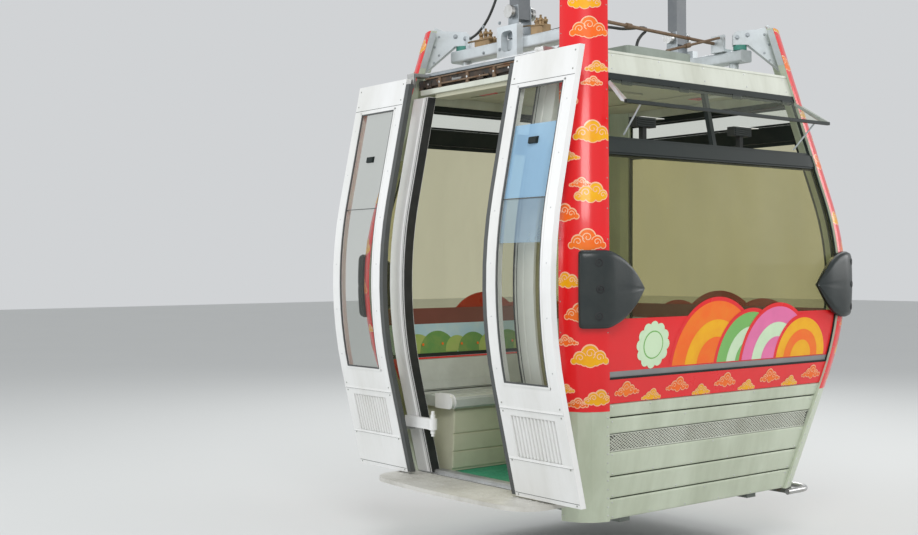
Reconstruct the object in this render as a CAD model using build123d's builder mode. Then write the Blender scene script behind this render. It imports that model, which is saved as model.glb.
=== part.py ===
from build123d import *
import math
import os

os.makedirs("parts", exist_ok=True)

# Cable car cabin with its hanger and rope grip.  Millimetres, +Z up.
# X runs across the rope (the doorway is on the -X side), Y runs along the rope.
# Heights below are counted from the bottom edge of the cabin, and every piece
# is shifted down by ROPE_Z when it is written, so that the origin is the point
# where the grip holds the rope.

ROPE_Z = 4000.0          # rope axis above the bottom edge of the cabin

# ---- driving dimensions of the body ----
END_HALF = 662.0         # half width of an end panel at the bottom, between the posts
SIDE_HALF = 542.0        # half length of a side at the bottom, between the posts
CORNER_R = 145.0         # corner: from the panel edge to the outer face line
BODY_H = 2200.0          # bottom edge to roof edge
POST_TOP = 2460.0        # top of the corner posts, above the roof
SLOPE_LOW = 0.2356       # outward lean of the lower walls
SLOPE_UP = 0.2134        # inward lean of the upper walls
WAIST_Z = 1082.0         # where the two leaning lines meet
WAIST_D = 459.0          # half height of the rounded waist
WALL_T = 26.0            # wall thickness
POST_PROUD = 14.0        # how far the corner posts stand proud of the panels
POST_T = 42.0            # thickness of a corner post's section
GAP = 1.0                # gap between neighbouring panels

# heights of the joints between the panels of the ends
Z_BOT = 0.0
Z_G4 = 107.0
Z_G3 = 216.0
Z_MESH0 = 337.0
Z_MESH1 = 422.0
Z_G1 = 500.0
Z_BAND0 = 568.0
Z_WIN0 = 680.0
Z_MID0 = 1713.0
Z_MID1 = 1774.0
Z_TOP0 = 2060.0
Z_TOP1 = 2091.0

# door side
JAMB_IN = 430.0          # half width of the doorway
JAMB_OUT = 566.0         # outer edge of a jamb
LEAF_W = 440.0
LEAF_T = 32.0
LEAF_OUT = 120.0         # outer face of an open leaf, from the panel face line
LEAF_Z0 = 108.0
LEAF_Z1 = 2186.0
NEAR_LEAF_Y = (-808.0, -368.0)
FAR_LEAF_Y = (500.0, 940.0)

# roof gear
BEAM_X = 600.0           # centre line of a roof beam
BEAM_W = 90.0
BEAM_Z0 = 2296.0
BEAM_Z1 = 2360.0
BEAM_HALF = 505.0
PIN_Y = -12.0
PIN_Z = 2492.0           # pins that carry the beams
LEG_W = 80.0
LEG_D = 68.0
CROSS_Z = 2905.0         # cross bar of the yoke
SWING_Z = 3800.0         # hanger pin in the grip


def bulge(z):
    """Outward offset of the side lines at height z."""
    z0 = WAIST_Z - WAIST_D
    z1 = WAIST_Z + WAIST_D
    if z < z0:
        return SLOPE_LOW * z
    if z < z1:
        return SLOPE_LOW * z - (SLOPE_LOW + SLOPE_UP) * (z - z0) ** 2 / (4 * WAIST_D)
    return SLOPE_LOW * WAIST_Z - SLOPE_UP * (z - WAIST_Z)


ARC_STEPS = 8
STATIONS = [WAIST_Z - WAIST_D + 2 * WAIST_D * i / ARC_STEPS for i in range(ARC_STEPS + 1)]


def levels(za, zb):
    return [za] + [s for s in STATIONS if za + 5 < s < zb - 5] + [zb]


def wall_x(z):
    return END_HALF + CORNER_R + bulge(z)


def wall_y(z):
    return SIDE_HALF + CORNER_R + bulge(z)


def section(points, z):
    """One closed outline at height z."""
    with BuildSketch(Plane.XY.offset(z)) as sk:
        with BuildLine():
            Polyline(*points, close=True)
        make_face()
    return sk.sketch


def shell(outline, za, zb):
    """Ruled body through the outlines at each level from za to zb."""
    with BuildPart() as body:
        zs = levels(za, zb)
        for a, b in zip(zs[:-1], zs[1:]):
            loft([section(outline(a), a), section(outline(b), b)], ruled=True)
    return body.part


def end_outline(side, inset, out=0.0, thick=WALL_T, u0=None, u1=None):
    """Outline of an end panel: side is -1 (near) or +1 (far)."""
    def f(z):
        y1 = side * (wall_y(z) + out)
        y0 = side * (wall_y(z) + out - thick)
        a = -(END_HALF + bulge(z)) + inset if u0 is None else u0
        b = (END_HALF + bulge(z)) - inset if u1 is None else u1
        return [(a, y0), (b, y0), (b, y1), (a, y1)]
    return f


def side_outline(side, inset, out=0.0, thick=WALL_T, v0=None, v1=None):
    """Outline of a side panel: side is -1 (door side) or +1."""
    def f(z):
        x1 = side * (wall_x(z) + out)
        x0 = side * (wall_x(z) + out - thick)
        a = -(SIDE_HALF + bulge(z)) + inset if v0 is None else (v0(z) if callable(v0) else v0)
        b = (SIDE_HALF + bulge(z)) - inset if v1 is None else (v1(z) if callable(v1) else v1)
        return [(x0, a), (x1, a), (x1, b), (x0, b)]
    return f


def save(part, name):
    part = part.moved(Location((0, 0, -ROPE_Z)))
    part.label = name
    export_step(part, "parts/" + name + ".step")


def group(solids):
    return Compound(children=[s for s in solids])


# ------------------------------------------------------------------ floor
FLOOR_Z0 = 40.0
FLOOR_Z1 = 96.0


def floor_outline(z):
    x = wall_x(z) - WALL_T - 2
    y = wall_y(z) - WALL_T - 2
    c = CORNER_R
    return [(-x, -y + c), (-x + c, -y), (x - c, -y), (x, -y + c),
            (x, y - c), (x - c, y), (-x + c, y), (-x, y - c)]


save(shell(floor_outline, FLOOR_Z0, FLOOR_Z1), "floor_pan")

with BuildPart() as mat:
    with BuildSketch(Plane.XY.offset(FLOOR_Z1 + 0.5)):
        Rectangle(2 * (wall_x(96) - WALL_T - 14), 2 * 400.0)
    extrude(amount=5.5)
save(mat.part, "floor_mat")

# under frame: two long channels with three cross members below the floor
with BuildPart() as underframe:
    for x in (-480.0, 480.0):
        with Locations((x, 0, 1.5)):
            Box(70, 1240, 75)
    for y in (-420.0, 0.0, 420.0):
        with Locations((0, y, 9.5)):
            Box(1000, 60, 45)
ARMS_LOW = []
for y in (-1, 1):
    with BuildPart() as p:
        with Locations((720, y * 620, -16.5)):
            Box(44, 123, 30)
        with Locations((720, y * 580, 14.5)):
            Box(44, 40, 49)
    ARMS_LOW.append(p.part)
save(group([underframe.part] + ARMS_LOW), "underframe")

# guide tube bent round the side away from the doorway, on arms below the floor
TUBE_R = 15.0
GUIDE_X0 = 685.0
GUIDE_X1 = 897.0
GUIDE_Y = 697.0
GUIDE_Z = -21.0
with BuildPart() as guide:
    with BuildLine() as path:
        FilletPolyline((GUIDE_X0, -GUIDE_Y, GUIDE_Z), (GUIDE_X1, -GUIDE_Y, GUIDE_Z), (GUIDE_X1, GUIDE_Y, GUIDE_Z), (GUIDE_X0, GUIDE_Y, GUIDE_Z), radius=85)
    with BuildSketch(Plane(origin=(GUIDE_X0, -GUIDE_Y, GUIDE_Z), x_dir=(0, 1, 0), z_dir=(1, 0, 0))):
        Circle(TUBE_R)
    sweep()
save(guide.part, "guide_tube")

# ------------------------------------------------------------------ corner posts
POST_IN = 4.0            # clear of the panels' edges


def post_outline(sx, sy, proud=POST_PROUD, thick=POST_T):
    """Corner post section: three outer facets with softened edges, hollow inside."""
    def f(z):
        cx = END_HALF + bulge(z)
        cy = SIDE_HALF + bulge(z)
        r = CORNER_R + proud
        ri = CORNER_R + proud - thick
        pts = []
        angles = (0.0, 8.0, 24.0, 33.0, 57.0, 66.0, 82.0, 90.0)
        radii = (1.0, 0.998, 0.978, 0.985, 0.985, 0.978, 0.998, 1.0)
        for a, k in zip(angles, radii):
            t = math.radians(a)
            pts.append((cx + r * k * math.cos(t), cy + r * k * math.sin(t)))
        for a in (90.0, 60.0, 30.0, 0.0):
            t = math.radians(a)
            pts.append((cx + ri * math.cos(t), cy + ri * math.sin(t)))
        out = [(sx * x, sy * y) for x, y in pts]
        return out
    return f


CORNERS = [(-1, -1), (1, -1), (1, 1), (-1, 1)]
save(group([shell(post_outline(sx, sy), 0.0, POST_TOP) for sx, sy in CORNERS]), "corner_posts")

# ------------------------------------------------------------------ end walls
FAR_MID0, FAR_MID1 = 1878.0, 1963.0      # the bar above the window sits higher on the far end and the closed side
# columns: name, low and high on the near end, outward offset, thickness, low and high on the far end and closed side
WALL_BANDS = [
    ("bottom_panels", Z_BOT, Z_MESH0 - GAP, 0.0, WALL_T, Z_BOT, Z_MESH0 - GAP),
    ("vent_plates", Z_MESH0, Z_MESH1 - GAP, -8.0, 6.0, Z_MESH0, Z_MESH1 - GAP),
    ("lower_panels", Z_MESH1, Z_BAND0 - GAP, 0.0, WALL_T, Z_MESH1, Z_BAND0 - GAP),
    ("band_panels", Z_BAND0, Z_WIN0 - GAP, 2.0, WALL_T, Z_BAND0, Z_WIN0 - GAP),
    ("main_windows", Z_WIN0, Z_MID0 - GAP, -4.0, 8.0, Z_WIN0, FAR_MID0 - GAP),
    ("mid_bars", Z_MID0, Z_MID1 - GAP, 6.0, 34.0, FAR_MID0, FAR_MID1 - GAP),
    ("top_windows", None, None, -4.0, 8.0, FAR_MID1, Z_TOP0 - GAP),
    ("top_bars", Z_TOP0, Z_TOP1 - GAP, 6.0, 34.0, Z_TOP0, Z_TOP1 - GAP),
    ("roof_fascias", Z_TOP1, BODY_H, 0.0, WALL_T, Z_TOP1, BODY_H),
]
for name, za, zb, off, th, fa, fb in WALL_BANDS:
    solids = [shell(end_outline(-1, GAP, off, th), za, zb)] if za is not None else []
    solids += [shell(end_outline(1, GAP, off, th), fa, fb), shell(side_outline(1, GAP, off, th), fa, fb)]
    save(group(solids), name)

# upper vent of the near end: a fixed mullion and one wide top hung flap, held open
MULL_W = 26.0
save(shell(end_outline(-1, 0, -6.0, 24.0, -MULL_W / 2, MULL_W / 2), Z_MID1, Z_TOP0 - GAP), "vent_mullions")

FLAP_FOOT_Y = 906.5      # inner face of the open flap's foot
FLAP_FOOT_Z = 1942.0
FLAP_HALF = 763.0        # half width at the foot


def flap(s):
    """Glass flap hung from the top bar, standing outward at its foot."""
    za = Z_TOP0 - 6.0
    y_top = wall_y(za) + 16.0
    wt = END_HALF + bulge(za) - 4
    with BuildPart() as p:
        loft([section([(-FLAP_HALF, s * FLAP_FOOT_Y), (FLAP_HALF, s * FLAP_FOOT_Y), (FLAP_HALF, s * (FLAP_FOOT_Y + 9)), (-FLAP_HALF, s * (FLAP_FOOT_Y + 9))], FLAP_FOOT_Z),
              section([(-wt, s * y_top), (wt, s * y_top), (wt, s * (y_top + 9)), (-wt, s * (y_top + 9))], za)],
             ruled=True)
    return p.part


def flap_rail(s):
    with BuildPart() as p:
        with Locations((0, s * (FLAP_FOOT_Y + 4), FLAP_FOOT_Z - 8.5)):
            Box(2 * FLAP_HALF, 17, 16)
    return p.part


save(flap(-1), "vent_flap_glass")
save(flap_rail(-1), "vent_flap_rails")

# slotted air inlets behind the flap, on short feet over the mid bar
AIR = []
for x in (-470.0, 245.0):
    with BuildPart() as p:
        z = Z_MID1 + 98.0
        with Locations((x, -(wall_y(z) - 34.0), z)):
            Box(138, 44, 46)
        with Locations((x, -(wall_y(z) - 34.0), z - 58.0)):
            Box(26, 26, 80)
    AIR.append(p.part)
save(group(AIR), "air_inlets")

# ------------------------------------------------------------------ door side (-X)
JAMB_T = 46.0


def jamb(s):
    def f(z):
        x1 = -(wall_x(z) + 4.0)
        x0 = x1 + JAMB_T
        lim = SIDE_HALF + bulge(z) - GAP
        a, b = JAMB_IN, max(JAMB_IN + 90.0, min(JAMB_OUT, lim))
        return [(x0, s * a), (x1, s * a), (x1, s * b), (x0, s * b)]
    return f


save(group([shell(jamb(s), FLOOR_Z1 + 4.0, Z_TOP1) for s in (-1, 1)]), "door_jambs")


def quarter(s):
    """Narrow lens shaped pane between the jamb and the post."""
    za = 330.0
    zb = 1760.0

    def f(z):
        x1 = -(wall_x(z) - 8.0)
        x0 = x1 + 8.0
        a = JAMB_OUT + GAP
        b = SIDE_HALF + bulge(z) - GAP
        return [(x0, s * a), (x1, s * a), (x1, s * b), (x0, s * b)]
    return shell(f, za, zb)


save(group([quarter(s) for s in (-1, 1)]), "quarter_windows")

# header rail over the doorway, its mechanism box and the brown hanging rail
with BuildPart() as header:
    with Locations((-wall_x(2150) + 29, 0, 2160)):
        Box(66, 1072, 50)
    with Locations((-wall_x(2150) - 4, 0, 2142)):
        Box(30, 1000, 14, mode=Mode.SUBTRACT)
save(header.part, "header_rail")

with BuildPart() as track:
    with Locations((-wall_x(2240) + 38, 0, 2212)):
        Box(56, 1040, 34)
save(track.part, "door_track")

with BuildPart() as mech:
    with Locations((-wall_x(2110) + 78, 0, 2108)):
        Box(120, 820, 48)
save(mech.part, "door_mechanism")

# step plate outside the doorway, with a wide rounded front
STEP_IN = 845.0
STEP_OUT = 1150.0
STEP_HALF = 612.0
STEP_Z0 = 78.0
STEP_Z1 = 99.0
with BuildPart() as step:
    with BuildSketch(Plane.XY.offset(STEP_Z0)) as sk:
        with BuildLine():
            Polyline((-808, -532), (-808, 532), (-STEP_IN, 532), (-STEP_IN, STEP_HALF), (-980, STEP_HALF))
            ThreePointArc((-980, STEP_HALF), (-1078, STEP_HALF - 38), (-1126, STEP_HALF - 132))
            ThreePointArc((-1126, STEP_HALF - 132), (-STEP_OUT, 0), (-1126, -STEP_HALF + 132))
            ThreePointArc((-1126, -STEP_HALF + 132), (-1078, -STEP_HALF + 38), (-980, -STEP_HALF))
            Polyline((-980, -STEP_HALF), (-STEP_IN, -STEP_HALF), (-STEP_IN, -532), (-808, -532))
        make_face()
    extrude(amount=STEP_Z1 - STEP_Z0)
save(step.part, "door_step")

with BuildPart() as sill:
    with Locations((-(wall_x(110) - 32), 0, 110)):
        Box(58, 2 * JAMB_IN - 4, 16)
save(sill.part, "door_sill")


def leaf_outline(y0, y1, thick=LEAF_T, out=LEAF_OUT):
    def f(z):
        x1 = -(wall_x(z) + out)
        x0 = x1 + thick
        return [(x0, y0), (x1, y0), (x1, y1), (x0, y1)]
    return f


# door leaf heights: columns low, high
LEAF_WIN_Z = (657.0, 2026.0)
STILE = 70.0
PANES = []
for word, (ya, yb) in (("near", NEAR_LEAF_Y), ("far", FAR_LEAF_Y)):
    full = shell(leaf_outline(ya, yb), LEAF_Z0, LEAF_Z1)
    hole = shell(leaf_outline(ya + STILE, yb - STILE, LEAF_T + 40, LEAF_OUT + 20), *LEAF_WIN_Z)
    vent = shell(leaf_outline(ya + STILE, yb - STILE, 14, LEAF_OUT + 4), 304.0, 502.0)
    save(full - hole - vent, "door_leaf_" + word)
    PANES.append(shell(leaf_outline(ya + STILE + GAP, yb - STILE - GAP, 8, LEAF_OUT - 12),
                       LEAF_WIN_Z[0] + GAP, LEAF_WIN_Z[1] - GAP))
save(group(PANES), "door_panes")

SEALS = []
for ya, yb in ((NEAR_LEAF_Y[1] + 0.5, NEAR_LEAF_Y[1] + 30), (FAR_LEAF_Y[0] - 30, FAR_LEAF_Y[0] - 0.5)):
    SEALS.append(shell(leaf_outline(ya, yb, LEAF_T - 4, LEAF_OUT - 2), LEAF_Z0 + 4, LEAF_Z1 - 30))
save(group(SEALS), "door_edge_seals")

# carriers that hold the open leaves: hooks from the track, guides on the jambs
CARRIERS = []
for y_top, y_low in ((-500.0, -470.0), (512.0, 530.0)):
    with BuildPart() as p:
        with Locations((-860, y_top * 1.0, 2209)):
            Box(106, 60, 16)
        with Locations((-906, y_top, 2178)):
            Box(12, 60, 76)
    CARRIERS.append(p.part)
    with BuildPart() as p:
        x_in = wall_x(350) + 4.6
        x_leaf = wall_x(332) + LEAF_OUT - LEAF_T - 0.5
        with Locations((-(x_in + x_leaf) / 2, y_low, 341)):
            Box(x_leaf - x_in, 44, 14)
    CARRIERS.append(p.part)
save(group(CARRIERS), "door_carriers")

# lower door arms: a flat plate on each lower guide, and the upright pin at its end
ARM_X0, ARM_X1 = -936.0, -912.0
ARM_Z0, ARM_Z1 = 348.5, 405.0
# columns: plate's low and high y, the pin's y
DOOR_ARMS = [(336.0, 544.0, 315.0), (-478.0, -376.0, -355.0)]
ARMS2 = []
for ya, yb, yp in DOOR_ARMS:
    with BuildPart() as p:
        with Locations(((ARM_X0 + ARM_X1) / 2, (ya + yb) / 2, (ARM_Z0 + ARM_Z1) / 2)):
            Box(ARM_X1 - ARM_X0, yb - ya, ARM_Z1 - ARM_Z0)
        with BuildSketch(Plane.XY.offset(ARM_Z0 - 20)):
            with Locations(((ARM_X0 + ARM_X1) / 2, yp)):
                Circle(13)
        extrude(amount=98)
        with BuildSketch(Plane.XY.offset(ARM_Z0)):
            with Locations(((ARM_X0 + ARM_X1) / 2, yp)):
                Circle(23)
        extrude(amount=ARM_Z1 - ARM_Z0)
        with BuildSketch(Plane.XY.offset(ARM_Z0 - 34)):
            with Locations(((ARM_X0 + ARM_X1) / 2, yp)):
                Circle(9)
        extrude(amount=130)
    ARMS2.append(p.part)
save(group(ARMS2), "door_arms")

# ------------------------------------------------------------------ roof and ceiling
def roof_outline(z):
    x = wall_x(z) - WALL_T - 2
    y = wall_y(z) - WALL_T - 2
    c = CORNER_R + 6
    xd = wall_x(2150) - 70       # the header rail stands on the door side
    return [(-xd, -y + c - 60), (-xd + c - 60, -y), (x - c, -y), (x, -y + c),
            (x, y - c), (x - c, y), (-xd + c - 60, y), (-xd, y - c + 60)]


def ceiling_outline(z):
    x = wall_x(2110) - 150
    y = wall_y(2110) - 64
    return [(-x, -y), (x, -y), (x + 80, -y + 80), (x + 80, y - 80), (x, y), (-x, y)]


save(shell(roof_outline, 2165.0, 2192.0), "roof_skin")
save(shell(ceiling_outline, 2134.0, 2158.0), "ceiling")

# ------------------------------------------------------------------ bumpers
BUMP_Z = 1090.0
BUMP_HALF = 174.0
BUMP_DEG = 36.5          # where a bumper begins on the corner, from the side face
BUMP_TIP = 212.0         # its tip on the end, from the corner's centre line
BUMP_T = 36.0
# outline in the end view; columns: distance from the tip, half height
BUMP_SHAPE = [(0, 6), (30, 42), (60, 72), (100, 105), (150, 138), (200, 161), (246, 173), (300, BUMP_HALF), (355, BUMP_HALF), (368, 160)]


def bumper():
    """Pointed shield that wraps a corner post at the waist and ends on the end wall."""
    cx = END_HALF + bulge(BUMP_Z)
    cy = SIDE_HALF + bulge(BUMP_Z)
    r0 = CORNER_R + POST_PROUD + 3.0
    r1 = r0 + BUMP_T

    def at(r, deg):
        t = math.radians(deg)
        return (cx + r * math.cos(t), cy + r * math.sin(t))
    with BuildPart() as body:
        with BuildSketch(Plane.XY.offset(BUMP_Z - BUMP_HALF)):
            with BuildLine():
                Polyline(at(r0, BUMP_DEG), at(r1, BUMP_DEG))
                ThreePointArc(at(r1, BUMP_DEG), at(r1, (BUMP_DEG + 90) / 2), at(r1, 90))
                Polyline(at(r1, 90), (cx - BUMP_TIP + 70, cy + r1 - 6), (cx - BUMP_TIP, cy + r0 + 10), (cx - BUMP_TIP, cy + r0), at(r0, 90))
                ThreePointArc(at(r0, 90), at(r0, (BUMP_DEG + 90) / 2), at(r0, BUMP_DEG))
            make_face()
        extrude(amount=2 * BUMP_HALF)
    with BuildPart() as cutter:
        with BuildSketch(Plane(origin=(0, cy + 300, 0), x_dir=(1, 0, 0), z_dir=(0, -1, 0))):
            with BuildLine():
                xt = cx - BUMP_TIP
                Polyline(*([(xt + d, BUMP_Z + h) for d, h in BUMP_SHAPE] + [(xt + d, BUMP_Z - h) for d, h in reversed(BUMP_SHAPE)]), close=True)
            make_face()
        extrude(amount=600)
    return body.part & cutter.part


BUMP = []
for sx, sy in CORNERS:
    b = bumper()
    if sx < 0:
        b = mirror(b, about=Plane.YZ)
    if sy < 0:
        b = mirror(b, about=Plane.XZ)
    BUMP.append(b)
save(group(BUMP), "corner_bumpers")

# ------------------------------------------------------------------ inside
BENCH_Z = 505.0
BASES, SEATS, BACKS = [], [], []
BENCH_W = 1480.0


def bench_piece(points, w):
    with BuildPart() as p:
        with BuildSketch(Plane(origin=(-w / 2, 0, 0), x_dir=(0, 1, 0), z_dir=(1, 0, 0))):
            with BuildLine():
                Polyline(*points, close=True)
            make_face()
        extrude(amount=w)
    return p.part


for s in (-1, 1):
    BASES.append(bench_piece([(s * 395, 104), (s * (wall_y(104) - 44), 104),
                              (s * (wall_y(440) - 46), 440), (s * 370, 440)], BENCH_W))
    SEATS.append(bench_piece([(s * 330, 452), (s * 345, 442), (s * (wall_y(445) - 48), 442),
                              (s * (wall_y(445) - 48), 492), (s * 345, 502), (s * 330, 490)], BENCH_W + 40))
    BACKS.append(bench_piece([(s * (wall_y(500) - 110), 506), (s * (wall_y(500) - 52), 506),
                              (s * (wall_y(660) - 48), 672), (s * (wall_y(660) - 86), 672)], BENCH_W))
save(group(BASES), "bench_bases")
save(group(SEATS), "bench_seats")
save(group(BACKS), "bench_backs")

# ------------------------------------------------------------------ roof gear
BEAMS = []
for sx in (-1, 1):
    with BuildPart() as p:
        with BuildSketch(Plane(origin=(0, -BEAM_HALF, 0), x_dir=(1, 0, 0), z_dir=(0, -1, 0))):
            with Locations((sx * BEAM_X, (BEAM_Z0 + BEAM_Z1) / 2)):
                RectangleRounded(BEAM_W, BEAM_Z1 - BEAM_Z0, 12)
        extrude(amount=-2 * BEAM_HALF)
    BEAMS.append(p.part)
save(group(BEAMS), "roof_beams")

PEDS = []
for sx in (-1, 1):
    for y in (-420.0, 420.0):
        with BuildPart() as p:
            with BuildSketch(Plane.XY.offset(2193.0)):
                with Locations((sx * BEAM_X, y)):
                    RectangleRounded(96, 120, 14)
            extrude(amount=26)
            with BuildSketch(Plane.XY.offset(2219.0)):
                with Locations((sx * BEAM_X, y)):
                    Circle(26)
            extrude(amount=BEAM_Z0 - 2219.0 - 0.5)
        PEDS.append(p.part)
save(group(PEDS), "beam_pedestals")

# shoulder arms: bent plates in the diagonal plane of each corner, from the
# post's inner face down onto a rubber mount at the beam's end
ARM_T = 56.0
ROOT = CORNER_R + POST_PROUD - POST_T       # inner radius of the post
Z_REF = 2370.0
SHOULDERS = []
MOUNTS = []
for sx, sy in CORNERS:
    q = math.sqrt(0.5)
    ox = END_HALF + bulge(Z_REF) + ROOT * math.cos(math.radians(15)) * q
    oy = SIDE_HALF + bulge(Z_REF) + ROOT * math.cos(math.radians(15)) * q

    def root(z):
        return (bulge(Z_REF) - bulge(z)) * math.sqrt(2) + 0.6

    plane = Plane(origin=(sx * ox, sy * oy, 0), x_dir=(-sx * q, -sy * q, 0),
                  z_dir=Vector(-sx * q, -sy * q, 0).cross(Vector(0, 0, 1)))
    with BuildPart() as p:
        with BuildSketch(plane):
            with BuildLine():
                pts = [(root(2246), 2246), (root(2492), 2492), (82, 2471), (208, 2463), (226, 2446),
                       (226, 2388), (147, 2388), (root(2246) + 14, 2246)]
                Polyline(*[(u, -z) if plane.y_dir.Z < 0 else (u, z) for u, z in pts], close=True)
            make_face()
        extrude(amount=ARM_T / 2, both=True)
    SHOULDERS.append(p.part)
    mx = ox - 187 * q
    my = oy - 187 * q
    with BuildPart() as p:
        with BuildSketch(Plane.XY.offset(BEAM_Z1 + 0.5)):
            with Locations((sx * mx, sy * my)):
                Circle(36)
        extrude(amount=2387.5 - BEAM_Z1 - 0.5)
    MOUNTS.append(p.part)
save(group(SHOULDERS), "shoulder_arms")
save(group(MOUNTS), "rubber_mounts")

# bracket boxes and pin lugs on the beams
BRACKET_Y = -10.0
BRACKET_Z = 2339.0
BRACKETS = []
LUGS = []
for sx in (-1, 1):
    with BuildPart() as p:
        with Locations((sx * (BEAM_X + BEAM_W / 2 + 22), BRACKET_Y, BRACKET_Z)):
            Box(42, 156, 160)
        with BuildSketch(Plane(origin=(sx * (BEAM_X + BEAM_W / 2 + 60), 0, 0), x_dir=(0, 1, 0), z_dir=(1, 0, 0))):
            with Locations((BRACKET_Y, BRACKET_Z)):
                RectangleRounded(88, 104, 24)
        extrude(amount=80, both=True, mode=Mode.SUBTRACT)
    BRACKETS.append(p.part)
    with BuildPart() as p:
        for dx in (-43.0, 43.0):
            with BuildSketch(Plane(origin=(sx * BEAM_X + dx - 2.5, 0, 0), x_dir=(0, 1, 0), z_dir=(1, 0, 0))):
                with BuildLine():
                    Polyline((PIN_Y - 42, BEAM_Z1 + 12), (PIN_Y + 42, BEAM_Z1 + 12), (PIN_Y + 34, PIN_Z + 34), (PIN_Y - 34, PIN_Z + 34), close=True)
                make_face()
                with Locations((PIN_Y, PIN_Z)):
                    Circle(22.5, mode=Mode.SUBTRACT)
            extrude(amount=5)
        with Locations((sx * BEAM_X, PIN_Y, BEAM_Z1 + 6.5)):
            Box(91, 84, 12)
    LUGS.append(p.part)
save(group(BRACKETS), "bracket_boxes")
save(group(LUGS), "pin_lugs")

PINS = []
for sx in (-1, 1):
    with BuildPart() as p:
        with Locations(Location((sx * BEAM_X, PIN_Y, PIN_Z), (0, 90, 0))):
            Cylinder(22, 150)
        for e in (-1, 1):
            with Locations(Location((sx * BEAM_X + e * 72, PIN_Y, PIN_Z), (0, 90, 0))):
                Cylinder(34, 20)
    PINS.append(p.part)
save(group(PINS), "carrying_pins")

# service box, door drive rods and valve blocks on the roof
with BuildPart() as box:
    with BuildSketch(Plane.XY.offset(2193.5)):
        with Locations((-7.5, -330)):
            RectangleRounded(485, 210, 20)
    extrude(amount=114.5)
save(box.part, "service_box")

RODS = []
# columns: one end x, y, z, other end x, y, z, radius
for (x0, y0, z0, x1, y1, z1, r) in ((-520.0, -330.0, 2442.0, 524.0, -342.0, 2410.0, 9.0),
                                    (120.0, -362.0, 2326.0, 524.0, -382.0, 2436.0, 7.0)):
    with BuildPart() as p:
        d = Vector(x1 - x0, y1 - y0, z1 - z0)
        with BuildSketch(Plane(origin=(x0, y0, z0), z_dir=(d.X, d.Y, d.Z))):
            Circle(r)
        extrude(amount=d.length)
        with BuildSketch(Plane(origin=(x0 + d.X * 0.35, y0 + d.Y * 0.35, z0 + d.Z * 0.35), z_dir=(d.X, d.Y, d.Z))):
            Circle(r + 6)
        extrude(amount=34)
    RODS.append(p.part)
save(group(RODS), "door_drive_rods")

# posts that hold the rods' ends; columns: x, y, low z, high z
ROD_POSTS = []
for x, y, za, zb in ((-520.0, -330.0, 2192.5, 2431.5), (120.0, -362.0, 2308.5, 2318.0), (532.0, -360.0, 2360.5, 2452.0)):
    with BuildPart() as p:
        if x > 500:
            with Locations((575, y, za + 7)):
                Box(70, 90, 14)
            with Locations((x + 8, y, (za + zb) / 2)):
                Box(14, 90, zb - za)
        else:
            with Locations((x, y, (za + zb) / 2)):
                Box(26, 26, zb - za)
    ROD_POSTS.append(p.part)
save(group(ROD_POSTS), "rod_posts")

# valve blocks on the beam over the doorway; columns: y of the middle, length, height
VALVES = []
for y, w, h in ((262.0, 120.0, 34.0), (-170.0, 90.0, 46.0)):
    with BuildPart() as p:
        with BuildSketch(Plane.XY.offset(BEAM_Z1 + 0.5)):
            with Locations((-BEAM_X, y)):
                RectangleRounded(62, w, 6)
        extrude(amount=h)
        for k in (-0.3, 0.0, 0.3):
            with BuildSketch(Plane.XY.offset(BEAM_Z1 + 0.5 + h - 1)):
                with Locations((-BEAM_X, y + k * w)):
                    Circle(11)
            extrude(amount=19)
    VALVES.append(p.part)
save(group(VALVES), "valve_blocks")


def hose(points, r, name):
    """Tube through straight runs joined by arcs, each arc as large as its runs allow."""
    pts = [Vector(*q) for q in points]
    radii = []
    for a, b, c in zip(pts[:-2], pts[1:-1], pts[2:]):
        turn = math.radians((b - a).get_angle(c - b))
        radii.append(0.45 * min((b - a).length, (c - b).length) / math.tan(turn / 2))
    print(name, "bend radii", [round(v) for v in radii])
    with BuildPart() as p:
        with BuildLine() as line:
            FilletPolyline(*points, radius=radii)
        d = pts[1] - pts[0]
        with BuildSketch(Plane(origin=points[0], z_dir=(d.X, d.Y, d.Z))):
            Circle(r)
        sweep()
    run = sum(e.length for e in line.line.edges())
    print(name, "length", round(run), "volume ratio",
          round(p.part.volume / (math.pi * r * r * run), 4))
    save(p.part, name)


# cable from the far beam end up to a clamp on the yoke, and an air hose
hose([(-600, 390.4, 2420.5), (-603, 335, 2434), (-608, 272, 2466), (-614, 222, 2503), (-620, 178, 2549),
      (-624, 141, 2602), (-624, 112, 2661), (-620, 90, 2722), (-612, 74, 2784), (-602, 62, 2846)], 7.0, "drop_cable")
hose([(-566.5, -150, 2384), (-505, -140, 2392), (-438, -148, 2412), (-370, -140, 2434), (-300, -152, 2446), (-230, -150, 2440),
      (-160, -166, 2448), (-92, -164, 2456), (-28, -178, 2452), (28, -196, 2458), (62, -232, 2462), (58, -274, 2452),
      (26, -304, 2428), (-20, -314, 2400), (-60, -327, 2366), (-76, -332, 2336), (-76, -332, 2309)], 8.0, "air_hose")
with BuildPart() as clamp:
    with BuildSketch(Plane.XY.offset(2848.5)):
        with Locations((-602, PIN_Y + LEG_D / 2 + 26.5)):
            RectangleRounded(44, 52, 6)
    extrude(amount=40)
    with BuildSketch(Plane.XY.offset(BEAM_Z1 + 0.5)):
        with Locations((-600, 404.0)):
            RectangleRounded(28, 25, 4)
    extrude(amount=74)
save(clamp.part, "cable_clamps")

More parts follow.
